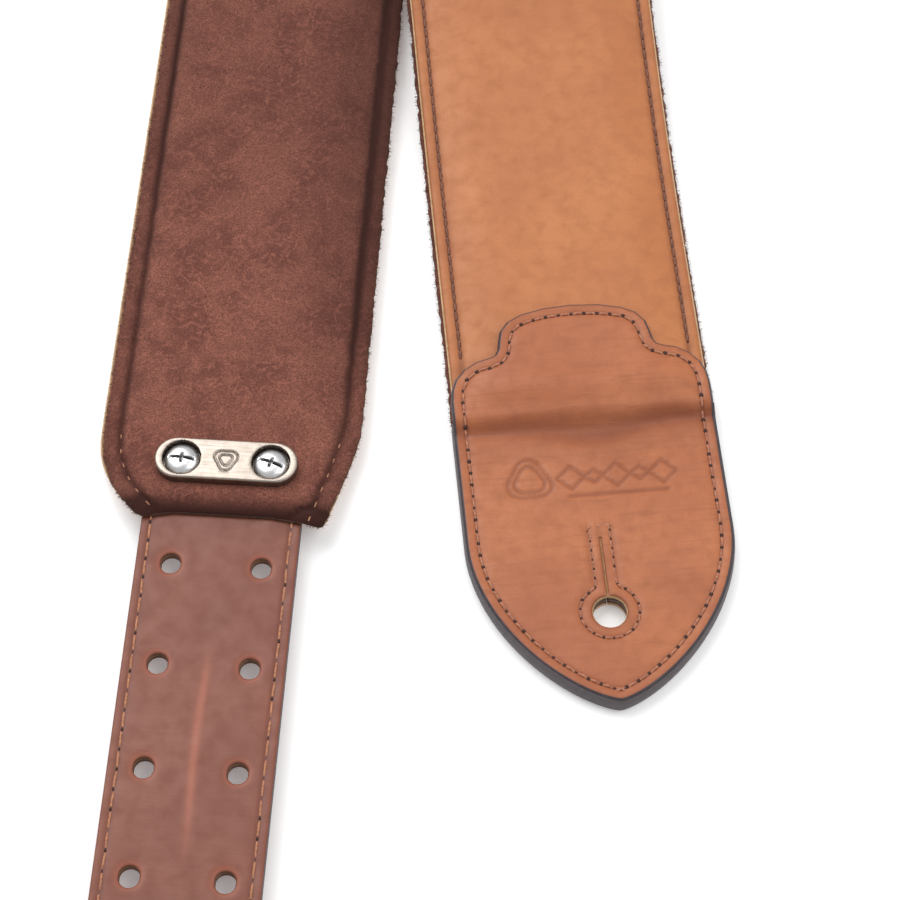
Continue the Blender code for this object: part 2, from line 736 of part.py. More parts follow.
def make_tab_threads(materials, tab_top, crown_top):
    """Seam round the tab, seam round the crown and the keyhole-shaped seam at the slit."""
    lift = GAP + THREAD / 2
    side = tab_side(TAB_SEAM_INSET) + [(TAB_WIDTH / 2 - TAB_SEAM_INSET, CREASE - 3 * MM)]
    loop = [(-across, from_tip) for across, from_tip in reversed(side)] + side[1:]
    route = [(across, TIP - from_tip, tab_top + lift) for across, from_tip in loop]
    thread("tab_seam_thread", route, materials["tab_thread"])

    side = [(TAB_WIDTH / 2 - TAB_SEAM_INSET, CREASE + 3 * MM)] + crown_side(TAB_SEAM_INSET)
    loop = side[:-1] + [(0, TAB_LENGTH - TAB_SEAM_INSET)]
    loop += [(-across, from_tip) for across, from_tip in reversed(side[:-1])]
    fine = []
    for (a, b), (c, d) in zip(loop, loop[1:]):
        count = max(1, math.ceil(math.hypot(c - a, d - b) / (4 * MM)))
        fine += [(a + (c - a) * i / count, b + (d - b) * i / count) for i in range(count)]
    fine.append(loop[-1])
    route = []
    for across, from_tip in fine:
        along = TIP - from_tip
        route.append((across, along, crown_top(across, along) + lift))
    thread("crown_seam_thread", route, materials["tab_thread"])

    radius = BUTTON_HOLE / 2 + KEYHOLE_SEAM_GAP
    half = KEYHOLE_SEAM_WIDTH / 2
    top = BUTTON_HOLE_AT + BUTTON_HOLE / 2 + SLIT_LENGTH + 4.5 * MM
    opening = math.asin(half / radius)
    points = [(-0.3 * MM, top), (-half, top)]
    steps = 14
    for i in range(steps + 1):
        angle = -opening - (2 * math.pi - 2 * opening) * i / steps
        across = radius * math.sin(angle)
        points.append((across, BUTTON_HOLE_AT + radius * math.cos(angle)))
    points += [(half, top), (half / 2, top)]
    route = [(across, TIP - from_tip, tab_top + lift) for across, from_tip in points]
    thread("keyhole_thread", route, materials["tab_thread"])


# ---------------------------------------------------------------- joints and placing


def group_under(name, place, members):
    """Puts the members under an empty that stands on their joint's axis."""
    empty = bpy.data.objects.new(name, None)
    parts.objects.link(empty)
    empty.location = place
    bpy.context.view_layer.update()
    for member in members:
        piece = parts.objects[member]
        piece.parent = empty
        piece.matrix_parent_inverse = empty.matrix_world.inverted()
    return empty


def stand_on_origin():
    """Moves the strap so that the middle of its box's floor is the origin."""
    bpy.context.view_layer.update()
    corners = []
    for piece in parts.objects:
        if piece.type == "MESH":
            corners += [piece.matrix_world @ vert.co for vert in piece.data.vertices]
    low = [min(corner[i] for corner in corners) for i in range(3)]
    high = [max(corner[i] for corner in corners) for i in range(3)]
    root = bpy.data.objects.new("strap_root", None)
    parts.objects.link(root)
    for piece in parts.objects:
        if piece.parent is None and piece is not root:
            piece.parent = root
    root.location = (-(low[0] + high[0]) / 2, -(low[1] + high[1]) / 2, -low[2])
    bpy.context.view_layer.update()


def build():
    clear_scene()
    materials = {
        "leather": finish_of("front leather", (0.32, 0.10, 0.025), 0.42),
        "suede": finish_of("backing suede", (0.09, 0.04, 0.025), 0.95),
        "foam": finish_of("padding foam", (0.55, 0.52, 0.42), 0.9),
        "thread": finish_of("seam thread", (0.10, 0.035, 0.015), 0.7),
        "tail_leather": finish_of("tail leather", (0.12, 0.045, 0.022), 0.5),
        "lining": finish_of("tail backing", (0.16, 0.08, 0.04), 0.8),
        "nickel": finish_of("antique nickel", (0.35, 0.33, 0.30), 0.35, 1.0),
        "chrome": finish_of("bright screws", (0.75, 0.75, 0.75), 0.15, 1.0),
        "steel": finish_of("nut plate steel", (0.45, 0.45, 0.45), 0.4, 1.0),
        "tab_leather": finish_of("tab leather", (0.30, 0.085, 0.03), 0.45),
        "core": finish_of("tab core", (0.25, 0.2, 0.15), 0.8),
        "tab_thread": finish_of("tab thread", (0.45, 0.2, 0.12), 0.7),
    }
    make_body(materials)
    make_body_seams(materials)
    make_tail(materials)
    make_plate(materials)
    make_nut_plate(materials)
    make_screw("screw_left", -1, materials)
    make_screw("screw_right", 1, materials)
    make_tab(materials)
    screw_axis = -POCKET_HALF - GAP - WELL_FLOOR
    middle_ply = TAIL_TOP + TAIL_THICKNESS / 2
    facing_middle = -BODY_HALF + TAB_BACKING + TAB_CORE + 2 * GAP + TAB_FACING / 2
    tail = group_under(
        "tail_slide_axis", on_route(0, SCREW_FROM_MOUTH, middle_ply), ["tail_face", "tail_backing"]
    )
    tail_end = group_under(
        "tail_end_axis", on_route(0, TAIL_HINGE, middle_ply), ["tail_end_face", "tail_end_backing"]
    )
    plate = group_under(
        "plate_lift_axis", on_route(0, SCREW_FROM_MOUTH, screw_axis), ["adjuster_plate"]
    )
    group_under(
        "tab_bend_axis",
        on_route(0, TIP - CREASE, facing_middle),
        ["tab_facing", "tab_core", "tab_backing", "tab_seam_thread", "keyhole_thread"],
    )
    for name, side in (("screw_left", -1), ("screw_right", 1)):
        place = on_route(side * HOLE_SPACING / 2, SCREW_FROM_MOUTH, screw_axis)
        axis = group_under(name + "_axis", place, [name])
        axis.parent = plate
        axis.matrix_parent_inverse = plate.matrix_world.inverted()
    tail_end.parent = tail
    tail_end.matrix_parent_inverse = tail.matrix_world.inverted()
    stand_on_origin()


build()
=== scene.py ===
"""Padded leather guitar strap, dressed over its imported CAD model.

Pieces are drawn flat in millimetres, as across and along the strap, and then laid on its folded
route. Along runs from the pocket mouth to the front tab's tip; height grows to the leather side.
"""

import json
import math

import bpy
import numpy as np
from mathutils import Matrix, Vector
from mathutils.geometry import delaunay_2d_cdt


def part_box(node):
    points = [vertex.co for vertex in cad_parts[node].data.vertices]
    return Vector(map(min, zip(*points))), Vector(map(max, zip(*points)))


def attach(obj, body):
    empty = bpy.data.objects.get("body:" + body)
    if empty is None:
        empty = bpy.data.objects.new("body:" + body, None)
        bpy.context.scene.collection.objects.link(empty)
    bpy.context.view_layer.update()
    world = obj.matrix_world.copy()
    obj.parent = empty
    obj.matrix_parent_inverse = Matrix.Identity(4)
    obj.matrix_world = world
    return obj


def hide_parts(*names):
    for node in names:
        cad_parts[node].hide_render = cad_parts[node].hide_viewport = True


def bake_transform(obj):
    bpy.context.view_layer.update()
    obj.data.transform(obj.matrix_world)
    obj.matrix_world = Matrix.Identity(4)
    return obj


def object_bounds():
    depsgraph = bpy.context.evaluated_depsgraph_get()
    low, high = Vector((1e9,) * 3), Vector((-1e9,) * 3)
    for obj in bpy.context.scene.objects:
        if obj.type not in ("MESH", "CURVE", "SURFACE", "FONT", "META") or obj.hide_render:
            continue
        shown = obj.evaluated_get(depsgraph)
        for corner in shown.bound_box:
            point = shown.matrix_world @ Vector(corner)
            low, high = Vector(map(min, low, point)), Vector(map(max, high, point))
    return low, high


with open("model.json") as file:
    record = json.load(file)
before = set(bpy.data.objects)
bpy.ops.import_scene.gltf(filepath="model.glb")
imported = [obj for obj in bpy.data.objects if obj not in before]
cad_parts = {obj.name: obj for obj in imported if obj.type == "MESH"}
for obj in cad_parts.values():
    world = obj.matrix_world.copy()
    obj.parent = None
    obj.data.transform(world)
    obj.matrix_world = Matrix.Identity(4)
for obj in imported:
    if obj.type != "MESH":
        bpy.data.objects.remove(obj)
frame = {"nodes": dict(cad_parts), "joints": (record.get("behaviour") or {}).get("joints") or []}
cad_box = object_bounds()
MM = 0.001

# ------------------------------------------------------------------ table, light and camera
# The strap lies on a plain white table top, lit by two wide softboxes and a bright room.
# The camera looks down on the two ends from the front, from about two thirds of a metre.
TABLE_HALF = 12
TABLE_GAP = 0.2 * MM
CAMERA_AIM = Vector((11.3, -76.1, 0)) * MM
CAMERA_DISTANCE = 674 * MM
CAMERA_ABOVE = math.radians(60)
CAMERA_TURN = math.radians(-0.76)
SOFTBOXES = (
    ("key_softbox", (-0.50, 0.55, 1.15), 1.1, 15.0),
    ("fill_softbox", (0.75, -0.10, 1.10), 1.0, 6.0),
)


def add(tree, kind, values=(), **settings):
    """A node with its settings made and each of its inputs set or linked."""
    node = tree.nodes.new(kind)
    for key, value in settings.items():
        setattr(node, key, value)
    for key, value in dict(values).items():
        if isinstance(value, bpy.types.NodeSocket):
            tree.links.new(value, node.inputs[key])
        else:
            node.inputs[key].default_value = value
    return node


def new_finish(name, color, roughness, metallic=0.0):
    """A material with its shader's plain numbers set; returns it, its tree and its shader."""
    material = bpy.data.materials.new(name)
    material.use_nodes = True
    shader = material.node_tree.nodes["Principled BSDF"]
    shader.inputs["Base Color"].default_value = (*color, 1)
    shader.inputs["Roughness"].default_value = roughness
    shader.inputs["Metallic"].default_value = metallic
    return material, material.node_tree, shader


table_top, _, shader = new_finish("white table top", (0.88, 0.88, 0.88), 0.7)
shader.inputs["Emission Color"].default_value = (1, 1, 1, 1)
shader.inputs["Emission Strength"].default_value = 0.18
level = cad_box[0].z - TABLE_GAP
mesh = bpy.data.meshes.new("table")
corners = [(TABLE_HALF * x, TABLE_HALF * y, level) for x, y in ((-1, -1), (1, -1), (1, 1), (-1, 1))]
mesh.from_pydata(corners, [], [(0, 1, 2, 3)])
mesh.materials.append(table_top)
table = bpy.data.objects.new("table", mesh)
bpy.context.scene.collection.objects.link(table)

for name, place, size, power in SOFTBOXES:
    lamp = bpy.data.lights.new(name, "AREA")
    lamp.size = size
    lamp.energy = power
    light = bpy.data.objects.new(name, lamp)
    light.location = place
    light.rotation_euler = (CAMERA_AIM - Vector(place)).to_track_quat("-Z", "Y").to_euler()
    bpy.context.scene.collection.objects.link(light)

world = bpy.data.worlds.new("bright room")
world.use_nodes = True
world.node_tree.nodes["Background"].inputs["Color"].default_value = (1, 1, 1, 1)
world.node_tree.nodes["Background"].inputs["Strength"].default_value = 0.62
bpy.context.scene.world = world
bpy.context.scene.view_settings.view_transform = "Standard"

lens = bpy.data.cameras.new("camera")
lens.lens = 107.4
lens.clip_start = 0.02
camera = bpy.data.objects.new("camera", lens)
level_back = CAMERA_DISTANCE * math.cos(CAMERA_ABOVE)
camera.location = CAMERA_AIM + Vector((
    level_back * math.sin(CAMERA_TURN),
    -level_back * math.cos(CAMERA_TURN),
    CAMERA_DISTANCE * math.sin(CAMERA_ABOVE),
))
camera.rotation_euler = (math.pi / 2 - CAMERA_ABOVE, 0, CAMERA_TURN)
bpy.context.scene.collection.objects.link(camera)
bpy.context.scene.camera = camera

# ------------------------------------------------------------------ front leather
# One long panel of waxed tan cowhide, 1.8 mm thick, folded over at the far end as it lies.
# It rises over the foam, is pressed flat at its edges, and its cut edge is left raw.
LEG_ANGLE = math.radians(4.53)
LEG_RUN = 381.985
LOOP_RADIUS = 30.0
LEAN = 0.227129
SLOPE_RUN = 232.810
LANDING_RADIUS = 300.0
LANDING_AT = 80.844
TIP_PAST_MOUTH = 49.6
DRIFT = 23.385
LEATHER_WIDTH = 64.0
LEATHER = 1.8
SUEDE = 1.2
GAP = 0.3
POCKET_HALF = 4.4
BODY_HALF = 3.5
POCKET_END = 356.8
EDGE_TOP = LEATHER + GAP / 2
EDGE_BOTTOM = -SUEDE - GAP / 2
MOUTH_CORNERS = ((25.6, 1.12), (20.9, 2.6))
MOUTH_DIP = -1.5
MOUTH_TAPER = 26.0
SCREW_FROM_MOUTH = 13.4
LEATHER_END = 80.0
FULL_HEIGHT_AT = 88.0
BODY_SEAM_INSET = 3.0
LEATHER_ASIDE = -0.7
LEATHER_SHORTER = 4.0

LOOP_LENGTH = LOOP_RADIUS * (math.pi + LEAN)
PROFILE = (
    (LEG_RUN, 0),
    (LOOP_LENGTH, 1 / LOOP_RADIUS),
    (SLOPE_RUN, 0),
    (LANDING_RADIUS * LEAN, -1 / LANDING_RADIUS),
    (LANDING_AT + TIP_PAST_MOUTH, 0),
)
TIP = sum(length for length, bend in PROFILE) / math.cos(LEG_ANGLE)
DRIFT_START = LEG_RUN - 20
DRIFT_END = LEG_RUN + LOOP_LENGTH + SLOPE_RUN
joint_places = {joint["name"]: joint.get("pos_m") for joint in frame["joints"]}
screw_middle = (
    Vector(joint_places["screw_left_turn"]) + Vector(joint_places["screw_right_turn"])
) / 2
leg_way = Vector((math.sin(LEG_ANGLE), math.cos(LEG_ANGLE), 0))
strap_root = screw_middle - leg_way * SCREW_FROM_MOUTH * MM
strap_root.z = 0


def between(value, start, end):
    """Share of the way from start to end, kept between 0 and 1."""
    return np.clip((value - start) / (end - start), 0, 1)


def ease(share):
    """Smooth step from 0 to 1."""
    return share * share * (3 - 2 * share)


def profile(run):
    """Middle of the strap seen from its side: y, z and heading after each length."""
    y, z, heading = np.zeros_like(run), np.zeros_like(run), np.zeros_like(run)
    from_y, from_z, from_heading, origin = 0.0, POCKET_HALF, 0.0, 0.0
    for length, bend in PROFILE:
        here = (run >= origin) | (origin == 0)
        step = np.append(run - origin, length)
        turned = from_heading + step * bend
        if bend:
            new_y = from_y + (np.sin(turned) - math.sin(from_heading)) / bend
            new_z = from_z + (math.cos(from_heading) - np.cos(turned)) / bend
        else:
            new_y = from_y + step * math.cos(from_heading)
            new_z = from_z + step * math.sin(from_heading)
        y = np.where(here, new_y[:-1], y)
        z = np.where(here, new_z[:-1], z)
        heading = np.where(here, turned[:-1], heading)
        from_y, from_z, from_heading = new_y[-1], new_z[-1], turned[-1]
        origin += length
    return y, z, heading


def on_route(across, along, height):
    """Places in the frame of points of the strap drawn flat, as rows of x, y, z in metres."""
    across, along, height = (np.asarray(values, float) for values in (across, along, height))
    run = along * math.cos(LEG_ANGLE)
    share = between(run, DRIFT_START, DRIFT_END)
    aside = run * math.tan(LEG_ANGLE) + DRIFT * ease(share)
    slant = math.tan(LEG_ANGLE) + DRIFT * 6 * share * (1 - share) / (DRIFT_END - DRIFT_START)
    stretch = np.hypot(1, slant)
    y, z, heading = profile(run - across * slant / stretch)
    x = aside + across / stretch
    places = (x, y + height * np.sin(heading), z - height * np.cos(heading))
    return np.stack(places, axis=-1) * MM + np.array(strap_root)


def on_middle(along):
    """The place of one point on the strap's middle line."""
    return on_route(np.array([0.0]), np.array([along]), np.array([0.0]))[0]


def evened(line, step):
    """The line's points with more set between them, so that none are further apart than step."""
    points = [line[0]]
    for a, b in zip(line, line[1:]):
        count = max(1, math.ceil(math.dist(a, b) / step))
        for i in range(1, count + 1):
            points.append(tuple(p + (q - p) * i / count for p, q in zip(a, b)))
    return points


def distance_to(points, line):
    """How far each point lies from a line of straight pieces."""
    nearest = np.full(len(points), 1e9)
    for start, end in zip(np.array(line[:-1]), np.array(line[1:])):
        way = end - start
        share = np.clip(((points - start) @ way) / max(way @ way, 1e-12), 0, 1)
        gap = np.linalg.norm(points - start - share[:, None] * way, axis=1)
        nearest = np.minimum(nearest, gap)
    return nearest


def enclosed(points, loop):
    """Which points lie inside a closed loop."""
    odd = np.zeros(len(points), bool)
    for (ax, ay), (bx, by) in zip(loop[:-1], loop[1:]):
        if ay != by:
            spans = (ay > points[:, 1]) != (by > points[:, 1])
            odd ^= spans & (points[:, 0] < ax + (points[:, 1] - ay) * (bx - ax) / (by - ay))
    return odd


def drawn_points(outline, holes, step, rings, grid, extra):
    """The flat drawing's points and the sides of its loops, ready to be joined by triangles."""
    points, sides, offered = [], [], []
    for loop in (outline, *holes):
        ring = np.array(evened(loop, step)[:-1])
        first = len(points)
        points += [tuple(p) for p in ring]
        count = len(ring)
        sides += [(first + i, first + (i + 1) % count) for i in range(count)]
        way = np.roll(ring, -1, 0) - np.roll(ring, 1, 0)
        normal = np.stack((-way[:, 1], way[:, 0]), 1)
        normal /= np.maximum(np.linalg.norm(normal, axis=1), 1e-9)[:, None]
        for inset in rings:
            for turn in (1, -1):
                offered.append((ring + normal * inset * turn, inset * 0.92))
    low, high = np.array(outline).min(0), np.array(outline).max(0)
    spread = [np.arange(low[i] + grid / 2, high[i], grid) for i in (0, 1)]
    field = np.stack(np.meshgrid(*spread), -1).reshape(-1, 2)
    field[:, 0] += np.where(np.arange(len(field)) // len(spread[0]) % 2, grid / 4, -grid / 4)
    offered.append((field, (rings[-1] if rings else 0) + grid * 0.45))
    if len(extra):
        offered.append((np.array(extra), (rings[-1] if rings else 0) + 0.1))
    for chosen, clearance in offered:
        keep = enclosed(chosen, outline) & (distance_to(chosen, outline) >= clearance)
        for loop in holes:
            keep &= ~enclosed(chosen, loop) & (distance_to(chosen, loop) >= clearance)
        points += [tuple(p) for p in chosen[keep]]
    return points, sides


def cut_piece(
    name, outline, top, bottom, finishes, holes=(), place=on_route, rim=0.4, bulge=0.1,
    step=1.5, rings=(0.2, 0.5, 1.0), grid=2.5, extra=(), shade=None, worn=None, furry=None,
    levels=3, painted=0.0,
):
    """One closed piece cut to an outline, with height rules for both faces and rounded rims.

    The finishes are for the upper face, the cut edge, the lower face and the walls of holes.
    Painted shade and wear, which on the tail also carries painted highlight, are kept on the mesh
    as attributes, and each point's place on the flat drawing as the UV map "drawn", in millimetres.
    """
    points, sides = drawn_points(outline, holes, step, rings, grid, extra)
    flat, _, triangles, _, _, _ = delaunay_2d_cdt([Vector(p) for p in points], sides, [], 0, 1e-4)
    flat = np.array([tuple(p) for p in flat])
    triangles = np.array(triangles)
    a, b, c = (flat[triangles[:, i]] for i in range(3))
    area = (b - a)[:, 0] * (c - a)[:, 1] - (b - a)[:, 1] * (c - a)[:, 0]
    middle = (a + b + c) / 3
    keep = enclosed(middle, outline) & (np.abs(area) > 1e-6)
    for loop in holes:
        keep &= ~enclosed(middle, loop)
    triangles = np.where(area[:, None] > 0, triangles, triangles[:, ::-1])[keep]
    used, packed = np.unique(triangles, return_inverse=True)
    flat, triangles = flat[used], packed.reshape(-1, 3)
    from_outline = distance_to(flat, outline)
    inset = from_outline
    for loop in holes:
        inset = np.minimum(inset, distance_to(flat, loop))
    across, along = flat.T
    drop = rim - np.sqrt(np.maximum(rim ** 2 - np.maximum(rim - inset, 0) ** 2, 0))
    upper = top(across, along, inset) - drop
    lower = bottom(across, along, inset) + drop * 0.5
    count = len(flat)
    pairs = np.concatenate([triangles[:, [0, 1]], triangles[:, [1, 2]], triangles[:, [2, 0]]])
    known = {(int(p), int(q)) for p, q in pairs}
    rim_sides = [(p, q) for p, q in known if (q, p) not in known]
    rim_sides.sort()
    following = dict(rim_sides)
    leading = {q: p for p, q in rim_sides}
    rim_points = sorted(following)
    place_of = {p: i for i, p in enumerate(rim_points)}
    on_hole = from_outline[rim_points] > 0.05
    way = flat[[following[p] for p in rim_points]] - flat[[leading[p] for p in rim_points]]
    outward = np.stack((way[:, 1], -way[:, 0]), 1)
    outward /= np.maximum(np.linalg.norm(outward, axis=1), 1e-9)[:, None]
    all_flat = [flat, flat]
    heights = [upper, lower]
    for i in range(1, levels):
        share = i / levels
        all_flat.append(flat[rim_points] + outward * bulge * math.sin(math.pi * share))
        heights.append(upper[rim_points] + (lower - upper)[rim_points] * share)
    drawn = np.concatenate(all_flat)
    height = np.concatenate(heights)
    faces = [tuple(t) for t in triangles] + [tuple(t[::-1] + count) for t in triangles]
    on_rim = (from_outline[triangles].max(1) <= painted).astype(int)
    kinds = on_rim.tolist() + [2] * len(triangles)
    for p, q in rim_sides:
        columns = []
        for point in (p, q):
            between_rims = [2 * count + i * len(rim_points) + place_of[point]
                            for i in range(levels - 1)]
            columns.append([point, *between_rims, point + count])
        for i in range(levels):
            faces.append((columns[1][i], columns[0][i], columns[0][i + 1], columns[1][i + 1]))
            kinds.append(3 if len(finishes) > 3 and on_hole[place_of[p]] else 1)
    places = place(drawn[:, 0], drawn[:, 1], height)
    fans = np.array([(f[0], f[i], f[i + 1]) for f in faces for i in range(1, len(f) - 1)])
    a, b, c = (places[fans[:, i]] for i in range(3))
    if np.einsum("ij,ij->i", a, np.cross(b, c)).sum() < 0:
        faces = [f[::-1] for f in faces]
    mesh = bpy.data.meshes.new(name)
    mesh.from_pydata(places.tolist(), [], [[int(i) for i in f] for f in faces])
    for finish in finishes:
        mesh.materials.append(finish)
    mesh.polygons.foreach_set("material_index", kinds)
    mesh.polygons.foreach_set("use_smooth", [True] * len(faces))
    indices = np.zeros(len(mesh.loops), int)
    mesh.loops.foreach_get("vertex_index", indices)
    mesh.uv_layers.new(name="drawn").data.foreach_set("uv", drawn[indices].ravel())
    for kept, rule in (("shade", shade), ("worn", worn)):
        tone = np.zeros(len(drawn), np.float32)
        if rule is not None:
            tone[: 2 * count] = np.tile(rule(across, along, inset), 2)
        mesh.attributes.new(kept, "FLOAT", "POINT").data.foreach_set("value", tone)
    if furry is not None:
        walls = np.zeros(len(drawn) - 2 * count)
        fur = furry(drawn[:, 0], drawn[:, 1], height, np.concatenate((inset, inset, walls)))
        mesh.attributes.new("furry", "FLOAT", "POINT").data.foreach_set("value", fur)
    mesh.set_sharp_from_angle(angle=math.radians(48))
    mesh.validate()
    piece = bpy.data.objects.new(name, mesh)
    bpy.context.scene.collection.objects.link(piece)
    return piece


def mixed(tree, share, first, second):
    """A colour between two others."""
    node = add(tree, "ShaderNodeMix", {0: share, 6: first, 7: second}, data_type="RGBA")
    return node.outputs[2]


def spread(tree, value, low, high, start, end):
    """A value brought from one span to another."""
    values = {"Value": value, "From Min": low, "From Max": high, "To Min": start, "To Max": end}
    return add(tree, "ShaderNodeMapRange", values).outputs["Result"]


def noise(tree, where, scale, detail=3, distortion=0.0):
    values = {"Vector": where, "Scale": scale, "Detail": detail, "Distortion": distortion}
    return add(tree, "ShaderNodeTexNoise", values).outputs["Fac"]


def bumped(tree, height, strength, depth, under=None):
    """The relief that a value makes, to a depth in millimetres, over another relief or none."""
    values = {"Height": height, "Strength": strength, "Distance": depth * MM}
    if under is not None:
        values["Normal"] = under
    return add(tree, "ShaderNodeBump", values).outputs["Normal"]


def kept_value(tree, name):
    """A value that the mesh keeps at each point."""
    return add(tree, "ShaderNodeAttribute", attribute_name=name).outputs["Fac"]


def toned(color, share):
    """A colour made darker or paler, with its alpha."""
    return (*(min(1, part * share) for part in color), 1)


def leather_finish(
    name, light, dark, shaded, gloss, grain=1.1, clouds=0.035, lift=0.08, lines=0.4
):
    """Waxed full-grain leather: cloudy dye, fine creased grain and pores, painted shade in its
    folds.
    """
    material, tree, shader = new_finish(name, light, gloss)
    drawn = add(tree, "ShaderNodeUVMap", uv_map="drawn").outputs["UV"]
    cloudy = noise(tree, drawn, clouds, 4, 0.6)
    mottle = noise(tree, drawn, clouds * 7, 3, 0.3)
    fine = noise(tree, drawn, grain * 1.9, 2)
    tone = mixed(tree, spread(tree, cloudy, 0.33, 0.68, 0, 1), (*light, 1), (*dark, 1))
    deeper = toned(dark, 0.80)
    tone = mixed(tree, spread(tree, mottle, 0.42, 0.75, 0, 0.55), tone, deeper)
    tone = mixed(tree, spread(tree, fine, 0.35, 0.75, 0, 0.30), tone, deeper)
    stretched = add(tree, "ShaderNodeMapping", {"Vector": drawn, "Scale": (0.07, 0.75, 1)})
    wrinkled = noise(tree, stretched.outputs["Vector"], 1.0, 4, 0.8)
    tone = mixed(tree, spread(tree, wrinkled, 0.52, 0.75, 0, lines * 0.5), tone, deeper)
    # Paler where the mesh's wear value says: a real rubbed streak, and painted highlight on the
    # rims of the tail's holes.
    tone = mixed(tree, kept_value(tree, "worn"), tone, toned(light, 1.55))
    tone = mixed(tree, kept_value(tree, "shade"), tone, (*shaded, 1))
    tree.links.new(tone, shader.inputs["Base Color"])
    rough = spread(tree, mottle, 0.3, 0.7, gloss - 0.06, gloss + 0.10)
    tree.links.new(rough, shader.inputs["Roughness"])
    values = {"Vector": drawn, "Scale": grain}
    cells = add(tree, "ShaderNodeTexVoronoi", values, feature="SMOOTH_F1")
    creased = bumped(tree, cells.outputs["Distance"], 0.35, lift)
    grained = bumped(tree, fine, 0.4, lift, creased)
    wrinkles = bumped(tree, wrinkled, lines * 0.5, 0.2, grained)
    tree.links.new(wrinkles, shader.inputs["Normal"])
    shader.inputs["Specular IOR Level"].default_value = 0.3
    return material


def cut_edge_finish(name, color, lines, gloss=0.7):
    """A cut or painted edge, with faint streaks that run along it."""
    material, tree, shader = new_finish(name, color, gloss)
    where = add(tree, "ShaderNodeTexCoord").outputs["Object"]
    streak = noise(tree, where, lines, 3, 0.4)
    tone = mixed(tree, spread(tree, streak, 0.35, 0.7, 0, 0.8), (*color, 1), toned(color, 0.55))
    tree.links.new(tone, shader.inputs["Base Color"])
    tree.links.new(bumped(tree, streak, 0.5, 0.08), shader.inputs["Normal"])
    return material


def half_height(along):
    """Half the padded thickness: fuller over the pocket than on the plain leg."""
    share = ease(between(along, POCKET_END, POCKET_END + 160))
    return POCKET_HALF + (BODY_HALF - POCKET_HALF) * share


def swell(across):
    """1 over the padding, falling in a soft shoulder to 0 at the flat edge band."""
    return 1 - between(np.abs(across), 17, 29.5) ** 2


def leather_top(across, along, inset=None):
    full = half_height(along)
    share = ease(between(TIP - along, LEATHER_END, FULL_HEIGHT_AT))
    full = EDGE_TOP + (full - EDGE_TOP) * share
    return EDGE_TOP + (full - EDGE_TOP) * swell(across)


def seam_groove(inset, seam_inset, depth=0.28, width=0.9):
    """How far a line of stitches pulls the surface down."""
    return depth * np.exp(-(((inset - seam_inset) / width) ** 2) * 2)


def body_outline(half_width, end, aside=0.0, shorter=0.0):
    """The body's outline: its two corners at the mouth are cut unlike, the tab end square."""
    sides = []
    for corner, fullness in MOUTH_CORNERS:
        side = [(corner - 1.0, MOUTH_DIP - 0.1), (corner - 0.2, MOUTH_DIP + 0.25)]
        for i in range(1, 17):
            share = (i / 16) ** 1.4
            across = corner + (half_width - corner) * (1 - (1 - share) ** fullness)
            side.append((across, MOUTH_DIP + (MOUTH_TAPER - MOUTH_DIP) * share))
        side = [(a, s + shorter * (1 - float(between(s, 0, 20)))) for a, s in side]
        sides.append([(12.0, shorter), *side, (half_width, end)])
    loop = sides[0] + [(-across, along) for across, along in reversed(sides[1])]
    return [(across + aside * (1 - between(along, 330, 380)), along) for across, along in
            evened([*loop, loop[0]], 40)]


front_tan = leather_finish(
    "front leather", (0.470, 0.176, 0.064), (0.400, 0.138, 0.050), (0.13, 0.035, 0.014), 0.46
)
raw_edge = cut_edge_finish("raw leather edge", (0.60, 0.40, 0.22), 900, 0.8)
flesh_side = cut_edge_finish("leather flesh side", (0.36, 0.19, 0.10), 500, 0.9)
leather_outline = (LEATHER_WIDTH / 2, TIP - LEATHER_END, LEATHER_ASIDE, LEATHER_SHORTER)
outline = body_outline(*leather_outline)
front_leather = cut_piece(
    "front_leather_panel",
    outline,
    lambda across, along, inset: leather_top(across, along) - seam_groove(inset, BODY_SEAM_INSET),
    lambda across, along, inset: leather_top(across, along) - LEATHER,
    (front_tan, raw_edge, flesh_side),
    rim=0.6,
    bulge=0.4,
    rings=(0.2, 0.5, 1.2, 2.1, 2.6, 3.0, 3.4, 3.9, 4.8, 6.0),
    step=2.2,
    grid=3.2,
    shade=lambda across, along, inset: 0.55 * seam_groove(inset, BODY_SEAM_INSET, 1, 1.2)
    + 0.25 * (1 - between(inset, 0.1, 1.6)),
)
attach(front_leather, "strap")
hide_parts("front_leather")

# ------------------------------------------------------------------ suede backing
# A brown microsuede lining the same size as the leather, sewn to it all round but open at the
# pocket mouth, where it rolls down over the tail. Its nap is brushed in patches and its edge is
# furry; two punched holes let the screws through.
SUEDE_END = 79.0
SUEDE_HALF = 33.0
SUEDE_NARROWER = 1.0
SUEDE_SEAM_INSET = 4.3
MOUTH_HALF = 20.5
SCREW_SPACING = 22.0
SCREW_HOLE = 5.0
LIP_LENGTH = 5.5
LIP_DROP = 1.25
LIP_HUMP = 0.7


def punched(across, along, diameter, stretch=0.0, sides=28):
    """A round hole, or a slot when stretched lengthwise, as a closed loop."""
    ring = []
    for i in range(sides):
        angle = 2 * math.pi * (i + 0.5) / sides
        pull = math.copysign(stretch / 2, math.sin(angle))
        ring.append((across + diameter / 2 * math.cos(angle),
                     along + diameter / 2 * math.sin(angle) + pull))
    return [*ring, ring[0]]


def suede_inner(across, along, inset=None):
    return SUEDE + EDGE_BOTTOM - (half_height(along) + EDGE_BOTTOM) * swell(across)


